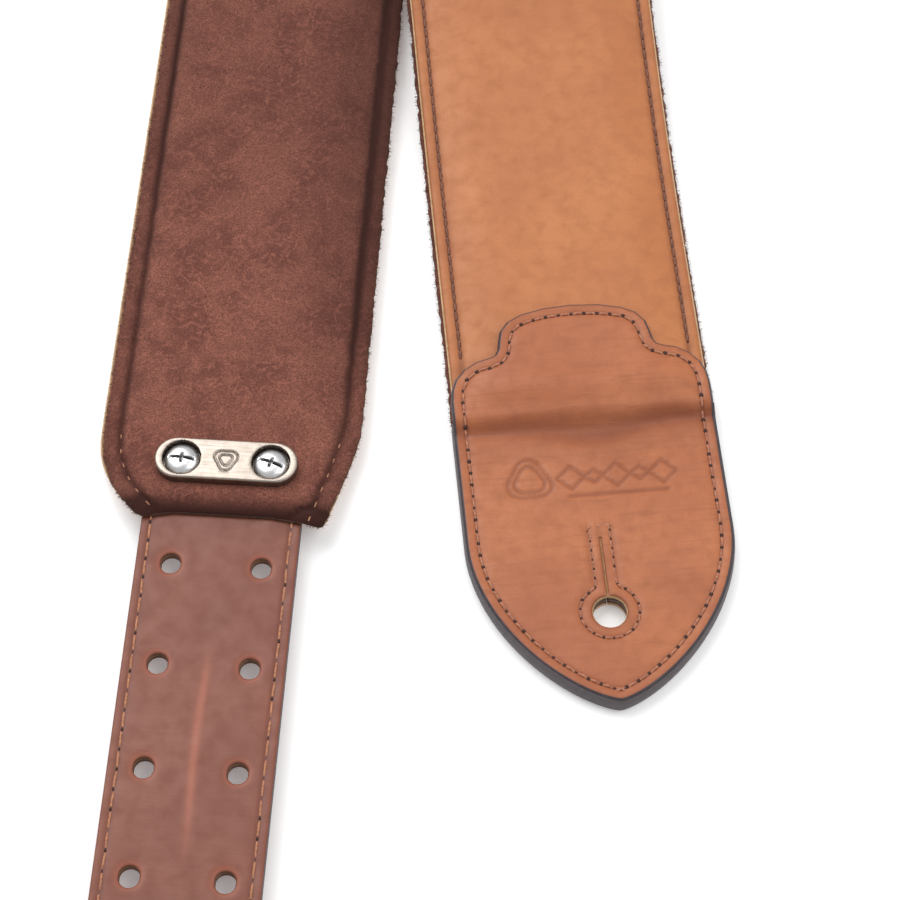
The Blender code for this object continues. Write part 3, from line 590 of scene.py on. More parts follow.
def suede_outer(across, along, inset=None):
    full = half_height(along)
    padded = EDGE_BOTTOM - (full + EDGE_BOTTOM) * swell(across)
    seam = distance_to(np.stack((across, along), 1), suede_sides)
    band = 0.45 * np.sin(math.pi * between(seam, 0, SUEDE_SEAM_INSET))
    groove = 0.65 * np.exp(-(((seam - SUEDE_SEAM_INSET) / 0.9) ** 2))
    lip = between(along, 0, LIP_LENGTH)
    rolled = LIP_DROP * (1 - np.sqrt(np.maximum(1 - (1 - lip) ** 2.4, 0)))
    hump = LIP_HUMP * np.exp(-(((along - 6.5) / 4) ** 2)) * between(seam, 3, 9)
    nap = 0.07 * np.sin(across * 1.9 + along * 0.7) * np.sin(along * 1.3 - across * 0.9)
    return padded - band + groove + rolled * between(seam, 1, 6) - hump + nap


def suede_shade(across, along, inset):
    seam = distance_to(np.stack((across, along), 1), suede_sides)
    groove = np.exp(-(((seam - SUEDE_SEAM_INSET) / 0.95) ** 2))
    band = 1 - between(seam, SUEDE_SEAM_INSET - 1, SUEDE_SEAM_INSET)
    lip = 1 - between(along, 0.5, LIP_LENGTH + 1)
    # Painted shade on the right side past the mouth, where the nap and a soft fold lie in shade,
    # and more further along; both fade out before the loop.
    brushed = ease(between(across, 6, 24)) * ease(between(along, 25, 70))
    lengthwise = 1 - between(along, 300, 380)
    far = 0.22 * between(along, 60, 130)
    soft = 0.80 * groove + 0.28 * band + 0.34 * brushed * lengthwise + far * lengthwise
    return np.clip(soft + 1.0 * ease(lip), 0, 1)


def suede_furry(across, along, height, inset):
    """1 on the cut edge and faint on the outer face, with none where the tail slides past."""
    middle = suede_inner(across, along) - SUEDE / 2
    fur = np.where(inset < 0.5, 1.0, 0.012 * (height < middle))
    by_tail = (np.abs(across) < 20.8) & (along < 20)
    return np.where(by_tail & ((inset < 0.5) | (height > middle)), 0, fur)


def suede_finish(name, light, dark, shaded):
    """Microsuede: short matt nap that shines at a grazing angle, brushed both ways in patches."""
    material, tree, shader = new_finish(name, light, 0.95)
    drawn = add(tree, "ShaderNodeUVMap", uv_map="drawn").outputs["UV"]
    patches = noise(tree, drawn, 0.055, 4, 1.4)
    strokes = noise(tree, drawn, 0.33, 4, 2.0)
    nap = noise(tree, drawn, 2.3, 3, 0.6)
    tone = mixed(tree, spread(tree, patches, 0.40, 0.60, 0, 0.9), (*light, 1), (*dark, 1))
    tone = mixed(tree, spread(tree, strokes, 0.46, 0.68, 0, 0.8), tone, toned(light, 1.35))
    tone = mixed(tree, spread(tree, nap, 0.40, 0.68, 0, 0.8), tone, toned(dark, 0.5))
    tone = mixed(tree, kept_value(tree, "shade"), tone, (*shaded, 1))
    tree.links.new(tone, shader.inputs["Base Color"])
    brushed = bumped(tree, strokes, 0.5, 0.25)
    tree.links.new(bumped(tree, nap, 0.8, 0.12, brushed), shader.inputs["Normal"])
    shader.inputs["Specular IOR Level"].default_value = 0.15
    shader.inputs["Sheen Weight"].default_value = 0.25
    shader.inputs["Sheen Roughness"].default_value = 0.5
    shader.inputs["Sheen Tint"].default_value = (0.75, 0.42, 0.34, 1)
    return material


def new_tree(name, **inputs):
    """A Geometry Nodes tree with its inputs named; returns it and what it is given."""
    tree = bpy.data.node_groups.new(name, "GeometryNodeTree")
    tree.interface.new_socket("Geometry", in_out="INPUT", socket_type="NodeSocketGeometry")
    for kind, names in inputs.items():
        for label in names:
            tree.interface.new_socket(label, in_out="INPUT", socket_type="NodeSocket" + kind)
    tree.interface.new_socket("Geometry", in_out="OUTPUT", socket_type="NodeSocketGeometry")
    return tree, tree.nodes.new("NodeGroupInput").outputs


def fibre_tree(finish):
    """Short fibres scattered over the faces, thicker where the mesh says it is furry."""
    sizes = ("Fibres to mm2", "Fibre length", "Fibre width")
    tree, given = new_tree("furry edge", Float=sizes, Int=("Seed",))
    furry = add(tree, "GeometryNodeInputNamedAttribute", {"Name": "furry"}).outputs["Attribute"]
    values = {0: given["Fibres to mm2"], 1: 1e6}
    to_metre = add(tree, "ShaderNodeMath", values, operation="MULTIPLY")
    density = add(tree, "ShaderNodeMath", {0: to_metre.outputs[0], 1: furry}, operation="MULTIPLY")
    values = {"Mesh": given["Geometry"], "Density": density.outputs[0], "Seed": given["Seed"]}
    roots = add(tree, "GeometryNodeDistributePointsOnFaces", values)
    values = {
        "Vertices": 3, "Side Segments": 1, "Radius Top": given["Fibre width"],
        "Radius Bottom": given["Fibre width"], "Depth": given["Fibre length"],
    }
    fibre = add(tree, "GeometryNodeMeshCone", values)
    lean = add(tree, "FunctionNodeRandomValue", {0: (-0.9, -0.9, 0), 1: (0.9, 0.9, 6.3)},
               data_type="FLOAT_VECTOR")
    turned = add(tree, "FunctionNodeRotateRotation",
                 {"Rotation": roots.outputs["Rotation"], "Rotate By": lean.outputs[0]},
                 rotation_space="LOCAL")
    size = add(tree, "FunctionNodeRandomValue", {2: 0.5, 3: 1.2}, data_type="FLOAT")
    values = {
        "Points": roots.outputs["Points"], "Instance": fibre.outputs["Mesh"],
        "Rotation": turned.outputs[0], "Scale": size.outputs[1],
    }
    fibres = add(tree, "GeometryNodeInstanceOnPoints", values)
    plain = add(tree, "GeometryNodeRealizeInstances", {"Geometry": fibres.outputs["Instances"]})
    values = {"Geometry": plain.outputs["Geometry"], "Material": finish}
    done = add(tree, "GeometryNodeSetMaterial", values)
    add(tree, "NodeGroupOutput", {"Geometry": done.outputs["Geometry"]})
    return tree


def grown(name, base, tree, values):
    """A new plain mesh piece that a Geometry Nodes tree makes from another piece."""
    piece = base.copy()
    piece.data = base.data.copy()
    bpy.context.scene.collection.objects.link(piece)
    nodes = piece.modifiers.new("grown", "NODES")
    nodes.node_group = tree
    sockets = {item.name: item.identifier for item in tree.interface.items_tree
               if item.in_out == "INPUT"}
    for key, value in values.items():
        nodes[sockets[key]] = value
    evaluated = piece.evaluated_get(bpy.context.evaluated_depsgraph_get())
    mesh = bpy.data.meshes.new_from_object(evaluated)
    bpy.data.objects.remove(piece)
    mesh.name = name
    made = bpy.data.objects.new(name, mesh)
    bpy.context.scene.collection.objects.link(made)
    return made


ragged = np.random.default_rng(11)
outline = []
for across, along in evened(body_outline(SUEDE_HALF, TIP - SUEDE_END), 1.3)[:-1]:
    narrower = SUEDE_NARROWER * (1 - float(between(along, 330, 430)))
    across *= 1 - narrower / SUEDE_HALF
    wander = ragged.normal(0, 0.13) if along > 0.6 else 0
    outline.append((across + wander, along))
suede_sides = [point for point in outline if abs(point[0]) > MOUTH_HALF][::3]
outline.append(outline[0])
suede_brown = suede_finish(
    "backing suede", (0.222, 0.082, 0.058), (0.140, 0.049, 0.036), (0.030, 0.009, 0.007)
)
suede_edge = suede_finish(
    "furry suede edge", (0.085, 0.050, 0.030), (0.045, 0.030, 0.018), (0.03, 0.02, 0.012)
)
screw_holes = [punched(side * SCREW_SPACING / 2, SCREW_FROM_MOUTH, SCREW_HOLE) for side in (-1, 1)]
backing_suede = cut_piece(
    "backing_suede_lining",
    outline,
    suede_inner,
    suede_outer,
    (suede_brown, suede_edge, suede_brown),
    holes=screw_holes,
    rim=0.5,
    rings=(0.4, 1.1, 2.2, 3.2, 3.8, 4.3, 4.8, 5.6, 7.0),
    step=1.6,
    grid=2.6,
    shade=suede_shade,
    furry=suede_furry,
)
suede_fur = grown("suede_fur", backing_suede, fibre_tree(suede_edge), {
    "Fibres to mm2": 2.6, "Fibre length": 0.75 * MM, "Fibre width": 0.05 * MM, "Seed": 5,
})
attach(suede_fur, "strap")
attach(backing_suede, "strap")
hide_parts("backing_suede")

# ------------------------------------------------------------------ foam under the leather
# A strip of open-cell foam lies between leather and suede, thinner where the pocket takes the
# tail. Its cut sides stand back from the edge and show only at the open pocket mouth.
FOAM_HALF = 25.5
FOAM_START = 23.0
FOAM_END = 82.0
FOAM_LEAST = 0.3
FOAM_STEP = 4.0
POCKET_FOAM = 1.2


def pad_top(across, along, inset=None):
    return leather_top(across, along) - LEATHER - GAP


def pad_bottom(across, along, inset=None):
    """Thin over the pocket and full past its end."""
    full = np.minimum(suede_inner(across, along) + GAP, pad_top(across, along) - FOAM_LEAST)
    thin = full + (pad_top(0 * across, along) - POCKET_FOAM - full) * swell(across)
    return thin + (full - thin) * between(along, POCKET_END, POCKET_END + FOAM_STEP)


foam, tree, shader = new_finish("padding foam", (0.55, 0.52, 0.42), 0.9)
where = add(tree, "ShaderNodeTexCoord").outputs["Object"]
cells = add(tree, "ShaderNodeTexVoronoi", {"Vector": where, "Scale": 1400.0}).outputs["Distance"]
tone = mixed(tree, cells, (0.30, 0.28, 0.21, 1), (0.62, 0.58, 0.47, 1))
tree.links.new(tone, shader.inputs["Base Color"])
foam_pad = cut_piece(
    "foam_pad",
    [(FOAM_HALF, FOAM_START), (FOAM_HALF, TIP - FOAM_END), (-FOAM_HALF, TIP - FOAM_END),
     (-FOAM_HALF, FOAM_START), (FOAM_HALF, FOAM_START)],
    pad_top,
    pad_bottom,
    (foam, foam, foam),
    rim=1.5,
    rings=(1.0, 2.5),
    step=4.0,
    grid=5.0,
)
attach(foam_pad, "strap")
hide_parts("padding")

# ------------------------------------------------------------------ body seams
# Waxed brown thread sewn by machine through leather, foam edge and suede, 3 mm from the edge.
# Each stitch sinks into its holes; on the suede side the thread almost hides in the nap.
BODY_PITCH = 2.9
THREAD = 0.8
SEAM_START = 5.5
SEAM_END = TIP - 99
NAP_SEAM_END = 22


def thread_finish(name, color, dark):
    """Twisted, waxed thread."""
    material, tree, shader = new_finish(name, color, 0.6)
    where = add(tree, "ShaderNodeTexCoord").outputs["Object"]
    twist = noise(tree, where, 1500, 2, 0.5)
    tone = mixed(tree, spread(tree, twist, 0.35, 0.65, 0, 1), (*color, 1), (*dark, 1))
    tree.links.new(tone, shader.inputs["Base Color"])
    return material


def stitch_tree():
    """Stitches set along a line of sides, which keeps its own up, each with a flat dark disc of
    painted shade at its needle hole.
    """
    sizes = ("Pitch", "Stitch length", "Thread width", "Rise", "Dip", "Hole width")
    finishes = ("Thread", "Hole shade")
    tree, given = new_tree("stitches", Float=sizes, Int=("Seed",), Material=finishes)

    def maths(operation, first, second=0.0):
        return add(tree, "ShaderNodeMath", {0: first, 1: second}, operation=operation).outputs[0]

    line = add(tree, "GeometryNodeMeshToCurve", {"Mesh": given["Geometry"]}).outputs["Curve"]
    values = {"Curve": line, "Length": given["Pitch"]}
    marks = add(tree, "GeometryNodeResampleCurve", values, mode="LENGTH").outputs["Curve"]
    way = add(tree, "GeometryNodeInputTangent").outputs["Tangent"]
    up = add(tree, "GeometryNodeInputNamedAttribute", {"Name": "up"}, data_type="FLOAT_VECTOR")
    turn = add(tree, "FunctionNodeAlignRotationToVector", {"Vector": way}, axis="X")
    values = {"Rotation": turn.outputs[0], "Vector": up.outputs["Attribute"]}
    turn = add(tree, "FunctionNodeAlignRotationToVector", values, axis="Z", pivot_axis="X")
    values = {0: (-0.05, -0.05, -0.06), 1: (0.05, 0.05, 0.06), "Seed": given["Seed"]}
    waver = add(tree, "FunctionNodeRandomValue", values, data_type="FLOAT_VECTOR").outputs[0]
    values = {"Rotation": turn.outputs[0], "Rotate By": waver}
    turn = add(tree, "FunctionNodeRotateRotation", values, rotation_space="LOCAL").outputs[0]

    half = maths("MULTIPLY", given["Stitch length"], 0.5)
    low = maths("MULTIPLY", given["Dip"], -1.0)
    start = add(tree, "ShaderNodeCombineXYZ", {"X": maths("MULTIPLY", half, -1.0), "Z": low})
    over = add(tree, "ShaderNodeCombineXYZ", {"Z": given["Rise"]})
    end = add(tree, "ShaderNodeCombineXYZ", {"X": half, "Z": low})
    values = {"Resolution": 5, "Start": start.outputs[0], "Middle": over.outputs[0],
              "End": end.outputs[0]}
    arch = add(tree, "GeometryNodeCurveQuadraticBezier", values).outputs[0]
    share = add(tree, "GeometryNodeSplineParameter").outputs["Factor"]
    fullness = maths("SINE", maths("MULTIPLY", share, math.pi))
    fullness = maths("ADD", maths("MULTIPLY", fullness, 0.4), 0.6)
    arch = add(tree, "GeometryNodeSetCurveRadius", {"Curve": arch, "Radius": fullness}).outputs[0]
    values = {"Resolution": 6, "Radius": maths("MULTIPLY", given["Thread width"], 0.5)}
    round_thread = add(tree, "GeometryNodeCurvePrimitiveCircle", values).outputs["Curve"]
    values = {"Curve": arch, "Profile Curve": round_thread, "Fill Caps": True}
    stitch = add(tree, "GeometryNodeCurveToMesh", values).outputs["Mesh"]
    # A flat dark disc at each needle hole: painted shade in the hole.
    hole = add(tree, "GeometryNodeMeshIcoSphere",
               {"Radius": maths("MULTIPLY", given["Hole width"], 0.5), "Subdivisions": 1})
    aside = add(tree, "ShaderNodeCombineXYZ", {"X": maths("MULTIPLY", given["Pitch"], 0.5)})
    values = {"Geometry": hole.outputs["Mesh"], "Translation": aside.outputs[0],
              "Scale": (1.3, 1.0, 0.22)}
    hole = add(tree, "GeometryNodeTransform", values).outputs["Geometry"]
    done = []
    for shape, finish in ((stitch, given["Thread"]), (hole, given["Hole shade"])):
        values = {"Points": marks, "Instance": shape, "Rotation": turn}
        row = add(tree, "GeometryNodeInstanceOnPoints", values).outputs["Instances"]
        row = add(tree, "GeometryNodeRealizeInstances", {"Geometry": row}).outputs["Geometry"]
        row = add(tree, "GeometryNodeSetShadeSmooth", {"Geometry": row}).outputs["Geometry"]
        values = {"Geometry": row, "Material": finish}
        done.append(add(tree, "GeometryNodeSetMaterial", values).outputs["Geometry"])
    join = tree.nodes.new("GeometryNodeJoinGeometry")
    for row in reversed(done):
        tree.links.new(row, join.inputs["Geometry"])
    add(tree, "NodeGroupOutput", {"Geometry": join.outputs["Geometry"]})
    return tree


stitches = stitch_tree()
# Dark colour for the discs at the needle holes: painted shade.
needle_hole_shade, _, _ = new_finish("needle hole shade", (0.050, 0.018, 0.012), 0.9)


def sewn(name, lines, surface, pitch, thread_colour, width=THREAD, share=0.82, hole=0.85,
         rise=0.5, dip=0.18, outward=1, seed=3):
    """One piece of stitches along flat lines that lie on a surface; outward is +1 or -1."""
    places, ups, sides = [], [], []
    for line in lines:
        across, along = np.array(evened(line, 1.2)).T
        height = surface(across, along)
        lifted = on_route(across, along, height + outward)
        laid = on_route(across, along, height)
        sides += [(len(places) + i, len(places) + i + 1) for i in range(len(laid) - 1)]
        places += laid.tolist()
        ups += (lifted - laid).tolist()
    mesh = bpy.data.meshes.new(name + "_line")
    mesh.from_pydata(places, sides, [])
    up = mesh.attributes.new("up", "FLOAT_VECTOR", "POINT")
    up.data.foreach_set("vector", np.array(ups, np.float32).ravel())
    line = bpy.data.objects.new(name + "_line", mesh)
    bpy.context.scene.collection.objects.link(line)
    made = grown(name, line, stitches, {
        "Pitch": pitch * MM, "Stitch length": pitch * share * MM, "Thread width": width * MM,
        "Rise": rise * MM, "Dip": dip * MM, "Hole width": hole * MM, "Seed": seed,
        "Thread": thread_colour, "Hole shade": needle_hole_shade,
    })
    bpy.data.objects.remove(line)
    return made


def inner_line(line, inset):
    """A line drawn to the left of another at an even distance."""
    points = np.array(line, float)
    way = np.gradient(points, axis=0)
    normal = np.stack((-way[:, 1], way[:, 0]), 1) / np.linalg.norm(way, axis=1)[:, None]
    return [tuple(point) for point in points + normal * inset]


brown_thread = thread_finish("brown seam thread", (0.20, 0.070, 0.035), (0.11, 0.036, 0.020))
nap_thread = thread_finish("thread in the nap", (0.40, 0.18, 0.10), (0.24, 0.10, 0.05))
edge = body_outline(*leather_outline)[:-1]
body_lines = []
for half in (edge[: len(edge) // 2], edge[len(edge) // 2:]):
    sewn_part = [p for p in evened(half, 4) if SEAM_START < p[1] < SEAM_END]
    body_lines.append(inner_line(sewn_part, BODY_SEAM_INSET))
body_seams = sewn(
    "body_seams",
    body_lines,
    lambda across, along: leather_top(across, along) - 0.2,
    BODY_PITCH,
    brown_thread,
)
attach(body_seams, "strap")
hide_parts("seam_thread_left", "seam_thread_right")
nap_lines = []
for side in (1, -1):
    edge = body_outline(SUEDE_HALF - SUEDE_NARROWER, 60)
    edge = sorted((p for p in edge if p[0] * side > MOUTH_HALF), key=lambda p: p[1])
    near = [p for p in evened(edge, 3) if -1 < p[1] < NAP_SEAM_END]
    nap_lines.append(inner_line(near, side * SUEDE_SEAM_INSET))
nap_seams = sewn(
    "nap_seams",
    nap_lines,
    lambda across, along: suede_outer(across, along) + 0.05,
    4.2,
    nap_thread,
    width=0.45,
    share=0.34,
    hole=0.3,
    rise=0.25,
    outward=-1,
)
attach(nap_seams, "strap")

# ------------------------------------------------------------------ front tab
# A shaped facing of redder tan leather, glued over a stiff core and a suede back, and sewn on to
# the padded body with a stepped, arched crown. It folds in a crease where the padding ends.
# All layers are trimmed together and the edge is painted dark; a motif is pressed into the face.
TAB_HALF = 32.6
OGIVE_LENGTH = 44.0
CROWN_SIDE = (
    (32.6, 84), (32.2, 87.5), (31.0, 90.6), (28.6, 93.2), (25.5, 94.8), (22.2, 95.4),
    (20.5, 96.0), (19.6, 97.6), (19.2, 100), (18.5, 103), (16.4, 105.7), (12.8, 107.6),
    (7.2, 108.9), (0, 109.4),
)
FACING = 2.0
TAB_BACKING = 1.7
TAB_TOP = 2.0
CREASE = 76.5
BUTTON_HOLE_AT = 23.6
BUTTON_HOLE = 8.6
SLIT_LENGTH = 16.0
SLIT_WIDTH = 0.35
TAB_SEAM_INSET = 2.8
TAB_PITCH = 3.3
KEYHOLE_RING = 7.2
KEYHOLE_HALF = 2.4
KEYHOLE_TOP = 47.0
BEND_FROM = 80.0
BEND_TO = 66.0


def from_tip(side):
    """A loop from one side's points, given as across and length from the tip."""
    drawn = [(across, TIP - back) for across, back in side]
    mirrored = [(-across, along) for across, along in reversed(drawn) if across > 0.01]
    return [*drawn, *mirrored, drawn[0]]


def tab_side(end):
    """Half of the tab's outline, from its rounded tip to a straight end."""
    side = [(0, 0)]
    for i in range(1, 31):
        back = OGIVE_LENGTH * (i / 30) ** 2
        share = (1 - (1 - back / OGIVE_LENGTH) ** 1.85) ** 0.72
        side.append((TAB_HALF * share, back))
    return [*side, (TAB_HALF, end)]


def keyhole(centre, diameter, slit_end, sides=30):
    """The button hole with its slit, as one closed loop."""
    radius, half = diameter / 2, SLIT_WIDTH / 2
    way = math.copysign(1, slit_end - centre)
    opening = math.asin(half / radius)
    ring = []
    for i in range(sides + 1):
        angle = opening + (2 * math.pi - 2 * opening) * i / sides
        ring.append((radius * math.sin(angle), centre + way * radius * math.cos(angle)))
    return [*ring, (-half, slit_end), (half, slit_end), ring[0]]


def plectrum(size, lobes, sides, across=0.0, along=0.0):
    """A plectrum's outline about a point: a circle drawn out into three soft corners."""
    line = []
    for i in range(sides + 1):
        angle = 2 * math.pi * i / sides
        radius = size * (1 + lobes * math.cos(3 * (angle - math.pi / 2)))
        line.append((across + radius * math.cos(angle), along - radius * math.sin(angle)))
    return line


def tab_motif():
    """The pressed motif: a double plectrum, and beside it a chain of lozenges over a thin rule."""
    middle = TIP - 61.0
    lines = [plectrum(size, 0.14, 30, -15.5, middle) for size in (5.2, 3.6)]
    start = -8.5
    for half_long, half_high in ((3.4, 3.2), (2.3, 1.8), (3.4, 3.2), (2.3, 1.8), (3.4, 3.2)):
        centre = start + half_long
        lines.append([
            (start, middle), (centre, middle + half_high), (start + 2 * half_long, middle),
            (centre, middle - half_high), (start, middle),
        ])
        start += 2 * half_long
    lines.append([(-6.0, middle + 5.2), (18.5, middle + 5.2)])
    return lines


motif = tab_motif()


def pressed(across, along, lines, width):
    """1 at the bottom of the pressed lines, falling to 0 beside them."""
    points = np.stack((across, along), 1)
    low, high = (np.array([f(np.array(line), 0) for line in lines]) for f in (np.min, np.max))
    near = ((points > low.min(0) - 2) & (points < high.max(0) + 2)).all(1)
    depth = np.zeros(len(points))
    for line in lines:
        gap = distance_to(points[near], line)
        depth[near] = np.maximum(depth[near], 1 - between(gap, width * 0.35, width))
    return depth


def facing_low(across, along, inset=None):
    """The facing lies on the padded body and comes down to the flat tab at the crease."""
    resting = leather_top(across, along) + GAP
    share = ease(between(TIP - along, 74.2, LEATHER_END))
    return TAB_TOP - FACING + (resting - TAB_TOP + FACING) * share


def fold_back(across, along):
    """Length from the crease, which bows towards the tip in the middle and wavers a little."""
    bow = 2.6 * np.exp(-(((across - 2) / 15) ** 2))
    return TIP - along - CREASE + bow + 0.5 * np.sin(across * 0.21 + 0.8)


def creases(across, along):
    """Height of the tab's folds: a crease that is sharp at the sides and soft in the middle."""
    back = fold_back(across, along)
    middle = np.exp(-(((across - 2) / 17) ** 2))
    fold = -0.62 * np.exp(-((back / (1.5 + 2.6 * middle)) ** 2))
    swells = 0.60 * middle * np.exp(-(((back - 10) / 4.5) ** 2))
    swells = swells + 0.25 * np.exp(-(((back + 6) / 3) ** 2))
    fine = 0.07 * np.sin(back * 2.2 + 1.3 * np.sin(across * 0.19)) * np.sin(across * 0.31 + back)
    fine = fine * between(back, -20, -12) * (1 - between(back, -4, 0))
    slack = 0.14 * np.sin(across * 0.13 + 1.3) * np.sin((TIP - along) * 0.11 + 0.4)
    return fold + swells + fine + slack


def facing_top(across, along, inset):
    surface = facing_low(across, along) + FACING + creases(across, along)
    surface = surface - 0.22 * pressed(across, along, motif, 0.75)
    return surface - seam_groove(inset, TAB_SEAM_INSET, 0.3, 0.9) * (inset < 8)


def facing_shade(across, along, inset):
    back = fold_back(across, along)
    middle = np.exp(-(((across - 2) / 17) ** 2))
    crease = 0.42 * np.exp(-((back / (1.4 + 2.6 * middle)) ** 2))
    crease += 0.34 * np.exp(-(((back + 1) / 6) ** 2)) * (0.4 + 0.6 * between(across, -30, 24))
    marks = 0.45 * pressed(across, along, motif, 0.8)
    seam = 0.30 * seam_groove(inset, TAB_SEAM_INSET, 1, 1.1) * (inset < 8)
    edge = 0.45 * (1 - between(inset, 0.1, 1.3))
    return np.clip(crease + marks + seam + edge, 0, 1)


tab_tan = leather_finish(
    "tab leather", (0.432, 0.148, 0.060), (0.350, 0.108, 0.045), (0.15, 0.034, 0.012), 0.42,
    lines=1.0,
)
edge_paint = cut_edge_finish("edge paint", (0.050, 0.034, 0.040), 700, 0.5)
button_hole = keyhole(TIP - BUTTON_HOLE_AT, BUTTON_HOLE,
                      TIP - BUTTON_HOLE_AT - BUTTON_HOLE / 2 - SLIT_LENGTH)
motif_field = [(across, TIP - 61.5 + from_motif) for across in np.arange(-21, 21.1, 0.5)
               for from_motif in np.arange(-6.5, 6.6, 0.5)]
crease_field = [(across, TIP - back) for across in np.arange(-31, 31.1, 1.2)
                for back in np.arange(57, 90, 0.8)]
facing_outline = from_tip(tab_side(80)[:-1] + list(CROWN_SIDE))
tab_facing = cut_piece(
    "tab_facing_panel",
    facing_outline,
    facing_top,
    facing_low,
    (tab_tan, edge_paint, flesh_side, raw_edge),
    holes=[button_hole],
    rim=0.45,
    bulge=0.25,
    step=1.2,
    rings=(0.2, 0.48, 1.0, 1.8, 2.3, 2.8, 3.3, 3.8, 4.8),
    grid=1.6,
    extra=motif_field + crease_field,
    shade=facing_shade,
    painted=0.5,
)
tab_back = cut_piece(
    "tab_backing_panel",
    from_tip(tab_side(78.4)),
    lambda across, along, inset: -BODY_HALF + TAB_BACKING + 0 * across,
    lambda across, along, inset: -BODY_HALF + 0.06 * np.sin(across * 1.7) * np.sin(along * 1.1),
    (suede_brown, edge_paint, suede_brown, raw_edge),
    holes=[button_hole],
    rings=(0.4, 1.2),
    step=1.8,
    grid=2.4,
)
side = tab_side(78.4)
trimmed = [(-across, TIP - back) for across, back in reversed(side[1:])]
trimmed += [(across, TIP - back) for across, back in side]
trimmed = evened(trimmed, 2)
band = inner_line(trimmed, 0.30) + inner_line(trimmed, -0.25)[::-1]
painted_edge = cut_piece(
    "tab_painted_edge",
    [*band, band[0]],
    lambda across, along, inset: facing_low(across, along) + FACING - 0.35,
    lambda across, along, inset: -BODY_HALF + 0.15 + 0 * across,
    (edge_paint, edge_paint, edge_paint),
    rim=0.12,
    bulge=0.35,
    rings=(),
    grid=200,
    levels=6,
)
bend_start, bend_end = on_middle(TIP - BEND_FROM), on_middle(TIP - BEND_TO)
tab_thread = thread_finish("tab seam thread", (0.44, 0.18, 0.10), (0.26, 0.09, 0.05))


def tab_surface(across, along):
    return facing_low(across, along) + FACING + creases(across, along) - 0.22


seam_loop = evened(facing_outline, 1.0)
tab_seam = sewn(
    "tab_seam",
    [inner_line(seam_loop, -TAB_SEAM_INSET)[1:-1]],
    tab_surface,
    TAB_PITCH,
    tab_thread,
    share=0.70,
    width=0.65,
    hole=1.15,
)
centre = TIP - BUTTON_HOLE_AT
opening = math.asin(KEYHOLE_HALF / KEYHOLE_RING)
ring = []
for i in range(29):
    angle = -opening - (2 * math.pi - 2 * opening) * i / 28
    ring.append((KEYHOLE_RING * math.sin(angle), centre - KEYHOLE_RING * math.cos(angle)))
top = TIP - KEYHOLE_TOP
keyhole_lines = [[(KEYHOLE_HALF, top), (-KEYHOLE_HALF, top), *ring, (KEYHOLE_HALF, top)]]
keyhole_seam = sewn(
    "keyhole_seam", keyhole_lines, tab_surface, 2.5, tab_thread, share=0.70, width=0.6, hole=1.0
)
tab_core = frame["nodes"]["tab_core"]
tab_core.material_slots[0].material = cut_edge_finish("tab core board", (0.16, 0.11, 0.08), 600)
for piece, nodes, slot in (
    (tab_facing, ("tab_facing", "crown_facing"), "tab_leather"),
    (tab_back, ("tab_backing",), "suede"),
    (painted_edge, (), "tab_leather"),
    (tab_seam, ("tab_seam_thread", "crown_seam_thread"), "tab_thread"),
):
    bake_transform(piece)
    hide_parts(*nodes)
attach(keyhole_seam, "front_tab")
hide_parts("keyhole_thread")

# ------------------------------------------------------------------ adjusting tail
# A narrow strap of two plies of smooth brown leather, sewn down both sides and punched with
# pairs of holes. It slides in the pocket and is held by the two screws; its edges are painted
# grey-black, and its outer end is a rounded tongue with its own button hole.
TAIL_HALF = 19.5
TAIL_PLY = 1.6
TAIL_TOP = -2.8
TAIL_INSIDE = 190.0
TAIL_OUTSIDE = 220.0
TAIL_HINGE = -168.0
TAIL_BEND = 7.0
TAIL_DROOP = math.tan(0.071034)
TAIL_TIP_LENGTH = 20.0
HOLE_PITCH = 26.8
HOLES_EACH_WAY = 6
HOLE_DIAMETER = 5.0
HOLE_STRETCH = 0.5
TAIL_SEAM_INSET = 2.3
TAIL_PITCH = 5.0


def droop(along):
    """The tail comes down to the table past the bend near its outer end."""
    return np.maximum(TAIL_HINGE - along, 0) * TAIL_DROOP


def tail_face_top(across, along, inset):
    """The face's grain side, grooved along its seams and dished round the holes."""
    groove = seam_groove(TAIL_HALF - np.abs(across), TAIL_SEAM_INSET, 0.22, 0.8)
    dish = 0.20 * np.exp(-((inset / 1.1) ** 2)) * (np.abs(across) < 15)
    soft = 0.06 * np.sin(along * 0.12 + across * 0.2) * np.sin(across * 0.25 + 1)
    return TAIL_TOP + droop(along) + groove + dish + soft


def tail_scuff_and_rim_highlight(across, along, inset):
    # A paler ring round each hole is painted highlight on its dished rim; the streak down the
    # middle is real rubbing.
    rim_highlight = 0.38 * np.exp(-(((inset - 0.55) / 0.55) ** 2)) * (np.abs(across) < 15)
    waver = 0.3 * np.sin(along * 0.13)
    streak = np.exp(-(((across - 0.6 - waver) / 1.0) ** 2))
    streak *= ease(between(-along, 33, 46)) * (1 - ease(between(-along, 70, 95)))
    return np.clip(rim_highlight + 0.8 * streak, 0, 1)


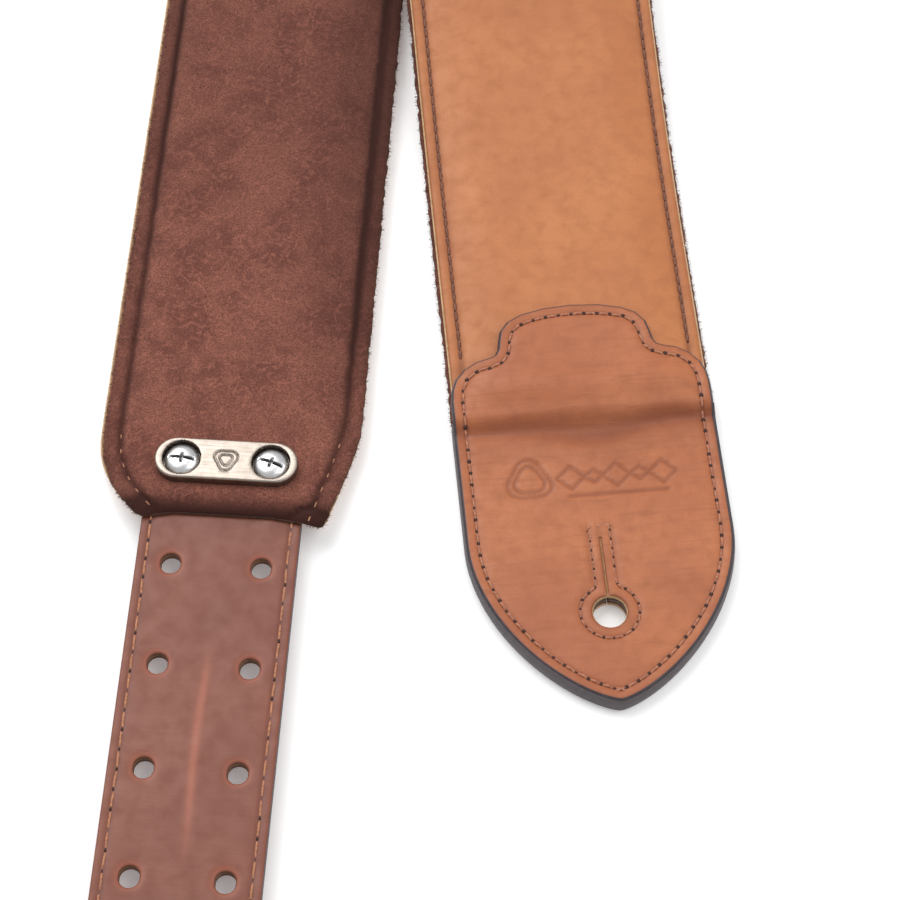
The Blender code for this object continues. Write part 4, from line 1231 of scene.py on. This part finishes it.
tip_side = [(TAIL_HALF, TAIL_INSIDE), (TAIL_HALF, TAIL_TIP_LENGTH - TAIL_OUTSIDE)]
for i in range(1, 17):
    angle = math.pi / 2 * i / 16
    tip_side.append((TAIL_HALF * math.cos(angle),
                     -TAIL_OUTSIDE + TAIL_TIP_LENGTH * (1 - math.sin(angle))))
tip_side[-1] = (0.0, -TAIL_OUTSIDE)
tail_outline = tip_side + [(-a, s) for a, s in reversed(tip_side[:-1])]
tail_outline.append(tail_outline[0])
tail_holes = []
for row in range(-HOLES_EACH_WAY, HOLES_EACH_WAY + 1):
    for side in (-1, 1):
        along = SCREW_FROM_MOUTH + row * HOLE_PITCH
        tail_holes.append(punched(side * SCREW_SPACING / 2, along, HOLE_DIAMETER, HOLE_STRETCH))
end_hole = -TAIL_OUTSIDE + BUTTON_HOLE_AT
tail_holes.append(keyhole(end_hole, BUTTON_HOLE, end_hole + BUTTON_HOLE / 2 + SLIT_LENGTH))
tail_brown = leather_finish(
    "tail leather", (0.214, 0.068, 0.040), (0.180, 0.053, 0.032), (0.06, 0.019, 0.014), 0.38,
    grain=1.6, clouds=0.03, lift=0.02,
)
tail_paint = cut_edge_finish("tail edge paint", (0.060, 0.055, 0.062), 700, 0.55)
punched_wall = cut_edge_finish("punched hole wall", (0.16, 0.075, 0.045), 900)
ply_level = TAIL_TOP + TAIL_PLY
tail_face = cut_piece(
    "tail_face_panel",
    tail_outline,
    lambda across, along, inset: ply_level + droop(along),
    tail_face_top,
    (flesh_side, tail_paint, tail_brown, punched_wall),
    holes=tail_holes,
    rim=0.4,
    rings=(0.2, 0.55, 1.1, 1.7, 2.3, 2.9, 3.6),
    step=1.5,
    grid=2.2,
    shade=lambda across, along, inset: 0.5
    * seam_groove(TAIL_HALF - np.abs(across), TAIL_SEAM_INSET, 1, 0.8)
    + 0.30 * np.exp(-(((along - 2) / 6) ** 2)),
    worn=tail_scuff_and_rim_highlight,
    extra=[(a, -s) for a in np.arange(-2.5, 3.6, 0.5) for s in np.arange(32, 97, 1.5)],
)
tail_back = cut_piece(
    "tail_backing_panel",
    tail_outline,
    lambda across, along, inset: ply_level + GAP + TAIL_PLY + droop(along),
    lambda across, along, inset: ply_level + GAP - 0.2 + droop(along),
    (tail_brown, tail_paint, flesh_side, punched_wall),
    holes=tail_holes,
    rings=(0.3, 1.2),
    step=2.2,
    grid=3.5,
)
tail_thread = thread_finish("orange tail thread", (0.47, 0.20, 0.095), (0.28, 0.10, 0.05))
lines = []
for side in (-1, 1):
    across = side * (TAIL_HALF - TAIL_SEAM_INSET)
    lines.append([(across, TAIL_INSIDE - 4), (across, TAIL_TIP_LENGTH - TAIL_OUTSIDE + 4)])
tail_seams = sewn(
    "tail_seams",
    lines,
    lambda across, along: TAIL_TOP + droop(along) + 0.2,
    TAIL_PITCH,
    tail_thread,
    share=0.74,
    width=0.65,
    hole=0.75,
    rise=0.4,
    outward=-1,
)
bend_start, bend_end = on_middle(TAIL_HINGE + TAIL_BEND), on_middle(TAIL_HINGE - TAIL_BEND)
for piece, nodes, slot in (
    (tail_face, ("tail_face", "tail_end_face"), "tail_leather"),
    (tail_back, ("tail_backing", "tail_end_backing"), "tail_backing"),
    (tail_seams, (), "brown_thread"),
):
    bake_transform(piece)
    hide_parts(*nodes)

# ------------------------------------------------------------------ adjuster plate
# A cast zinc bar in brushed antique nickel, 3 mm thick, with a deep round well for each screw
# head and an engraved motif between them. Its sides and hollows are darkened with painted shade.
PLATE_HALF_WIDTH = 5.6
PLATE_THICKNESS = 3.0
PLATE_PAST_SCREW = 6.6
WELL_RADIUS = 4.8
WELL_FLOOR = 0.8
SHANK_HOLE = 3.2

plate_low, plate_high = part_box("adjuster_plate")
plate_middle = (plate_low + plate_high) / 2


def on_plate(across, along, height):
    """Places in the frame of points drawn about the plate's middle, up from its underside."""
    x = across * math.cos(LEG_ANGLE) + along * math.sin(LEG_ANGLE)
    y = along * math.cos(LEG_ANGLE) - across * math.sin(LEG_ANGLE)
    corner = np.array((plate_middle.x, plate_middle.y, plate_low.z))
    return np.stack((x, y, height), axis=-1) * MM + corner


def metal_finish(name, color, dark, roughness, lines):
    """Cast metal: fine brushed lines, small wear patches, and painted shade in its hollows."""
    material, tree, shader = new_finish(name, color, roughness, 1.0)
    drawn = add(tree, "ShaderNodeUVMap", uv_map="drawn").outputs["UV"]
    values = {"Vector": drawn, "Scale": (0.12, lines, 1)}
    long = add(tree, "ShaderNodeMapping", values).outputs["Vector"]
    brushed = noise(tree, long, 1.0, 3)
    patches = noise(tree, drawn, 0.45, 4, 0.5)
    worn = mixed(tree, spread(tree, patches, 0.4, 0.75, 0, 0.5), (*color, 1), (*dark, 1))
    tone = mixed(tree, spread(tree, brushed, 0.4, 0.7, 0, 0.35), worn, (*dark, 1))
    tone = mixed(tree, kept_value(tree, "shade"), tone, (0.045, 0.036, 0.030, 1))
    tree.links.new(tone, shader.inputs["Base Color"])
    rough = spread(tree, brushed, 0.3, 0.7, roughness - 0.06, roughness + 0.12)
    tree.links.new(rough, shader.inputs["Roughness"])
    tree.links.new(bumped(tree, brushed, 0.25, 0.02), shader.inputs["Normal"])
    return material


def from_screw(across, along):
    """Distance from the nearer screw's axis."""
    return np.hypot(np.abs(across) - SCREW_SPACING / 2, along)


engraving = [plectrum(size, 0.16, 24) for size in (2.7, 1.5)]
straight = SCREW_SPACING / 2 + PLATE_PAST_SCREW - PLATE_HALF_WIDTH
plate_outline = []
for side in (1, -1):
    for i in range(21):
        angle = math.pi * i / 20 - math.pi / 2
        plate_outline.append((side * (straight + PLATE_HALF_WIDTH * math.cos(angle)),
                              side * PLATE_HALF_WIDTH * math.sin(angle)))
plate_outline.append(plate_outline[0])
well_points = []
for side in (-1, 1):
    for radius in (1.9, 2.6, 3.4, 4.2, 4.55, 4.72, 4.80, 4.92, 5.1):
        count = int(radius * 14)
        for i in range(count):
            angle = 2 * math.pi * i / count
            well_points.append((side * SCREW_SPACING / 2 + radius * math.cos(angle),
                                radius * math.sin(angle)))
well_points += [(a, s) for a in np.arange(-4, 4.01, 0.25) for s in np.arange(-3, 3.01, 0.25)]
nickel = metal_finish("antique nickel", (0.40, 0.345, 0.30), (0.24, 0.20, 0.165), 0.36, 6.0)
# A darker copy of the nickel for the plate's sides, underside and hole walls: painted shade.
nickel_in_painted_shade = metal_finish(
    "nickel sides in painted shade", (0.26, 0.215, 0.175), (0.12, 0.095, 0.075), 0.4, 6.0
)
adjuster_plate = cut_piece(
    "adjuster_plate_cast",
    plate_outline,
    lambda across, along, inset: PLATE_THICKNESS
    - (PLATE_THICKNESS - WELL_FLOOR) * (1 - between(from_screw(across, along), 4.72, WELL_RADIUS))
    - 0.10 * (1 - between(from_screw(across, along), WELL_RADIUS, 5.0))
    - 0.28 * pressed(across, along, engraving, 0.32),
    lambda across, along, inset: 0 * across,
    (nickel, nickel_in_painted_shade, nickel_in_painted_shade, nickel_in_painted_shade),
    holes=[punched(side * SCREW_SPACING / 2, 0, SHANK_HOLE) for side in (-1, 1)],
    place=on_plate,
    rim=0.5,
    bulge=0.0,
    step=0.6,
    rings=(0.08, 0.2, 0.35, 0.55),
    grid=0.9,
    extra=well_points,
    shade=lambda across, along, inset: np.clip(
        0.25 * (1 - between(from_screw(across, along), 4.70, 4.82))
        + 0.35 * pressed(across, along, engraving, 0.40), 0, 1),
    levels=4,
)
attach(adjuster_plate, "plate")
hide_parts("adjuster_plate")

# ------------------------------------------------------------------ screws and nut plate
# Two domed cross-head screws of bright plated steel drop into the wells and turn into a hidden
# steel bar under the tail; its bosses stand up through one pair of the tail's holes.
HEAD_RADIUS = 4.4
HEAD_HEIGHT = 2.0
SHANK_RADIUS = 1.3
HEAD_TURNS = (("screw_left", "left_screw", -3), ("screw_right", "right_screw", -17))


def domed(across, along, inset):
    """The head's dome with its tapered cross recess."""
    out = np.minimum(np.hypot(across, along) / HEAD_RADIUS, 1)
    dome = 0.35 + (HEAD_HEIGHT - 0.35) * np.sqrt(1 - 0.86 * out ** 2) - 0.55 * out ** 6
    return dome - 1.1 * recess(across, along)


def recess(across, along):
    depth = np.zeros_like(across)
    for first, second, reach in ((across, along, 3.3), (along, across, 1.5)):
        arm = 1 - between(np.abs(second), 0.22, 0.42)
        depth = np.maximum(depth, arm * (1 - between(np.abs(first), reach - 0.9, reach)))
    return depth


bright = metal_finish("bright screw", (0.70, 0.70, 0.71), (0.45, 0.45, 0.46), 0.28, 2.0)
steel = metal_finish("hidden nut plate steel", (0.45, 0.45, 0.46), (0.25, 0.25, 0.25), 0.45, 3.0)
head_points = [(r * math.cos(a), r * math.sin(a)) for r in np.arange(0.2, HEAD_RADIUS - 0.05, 0.2)
               for a in np.linspace(0, 2 * math.pi, int(r * 32) + 6, endpoint=False)]
seat = plate_low.z + (WELL_FLOOR + GAP) * MM
for node, body, turn in HEAD_TURNS:
    axis = Vector(joint_places[node + "_turn"])
    shank_end = (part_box(node)[0].z - seat) / MM
    turn = math.radians(turn) - LEG_ANGLE

    def on_screw(across, along, height, axis=axis, turn=turn):
        """Places in the frame of points drawn about a screw's axis, up from its seat."""
        x = across * math.cos(turn) - along * math.sin(turn)
        y = across * math.sin(turn) + along * math.cos(turn)
        return np.stack((x, y, height), axis=-1) * MM + np.array((axis.x, axis.y, seat))

    head = cut_piece(
        node + "_head", punched(0, 0, 2 * HEAD_RADIUS, 0, 48), domed,
        lambda across, along, inset: 0 * across, (bright, bright, bright), place=on_screw,
        rim=0.12, bulge=0.0, rings=(0.06, 0.15), grid=20, extra=head_points,
        shade=lambda across, along, inset: 0.8 * recess(across, along),
    )
    shank = cut_piece(
        node + "_shank", punched(0, 0, 2 * SHANK_RADIUS, 0, 24),
        lambda across, along, inset: 0.05 + 0 * across,
        lambda across, along, inset: shank_end + 0 * across,
        (bright, bright, bright), place=on_screw, rim=0.1, bulge=0.0, rings=(0.1,), grid=0.8,
    )
    for piece in (head, shank):
        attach(piece, body)
    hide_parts(node)
frame["nodes"]["nut_plate"].material_slots[0].material = steel
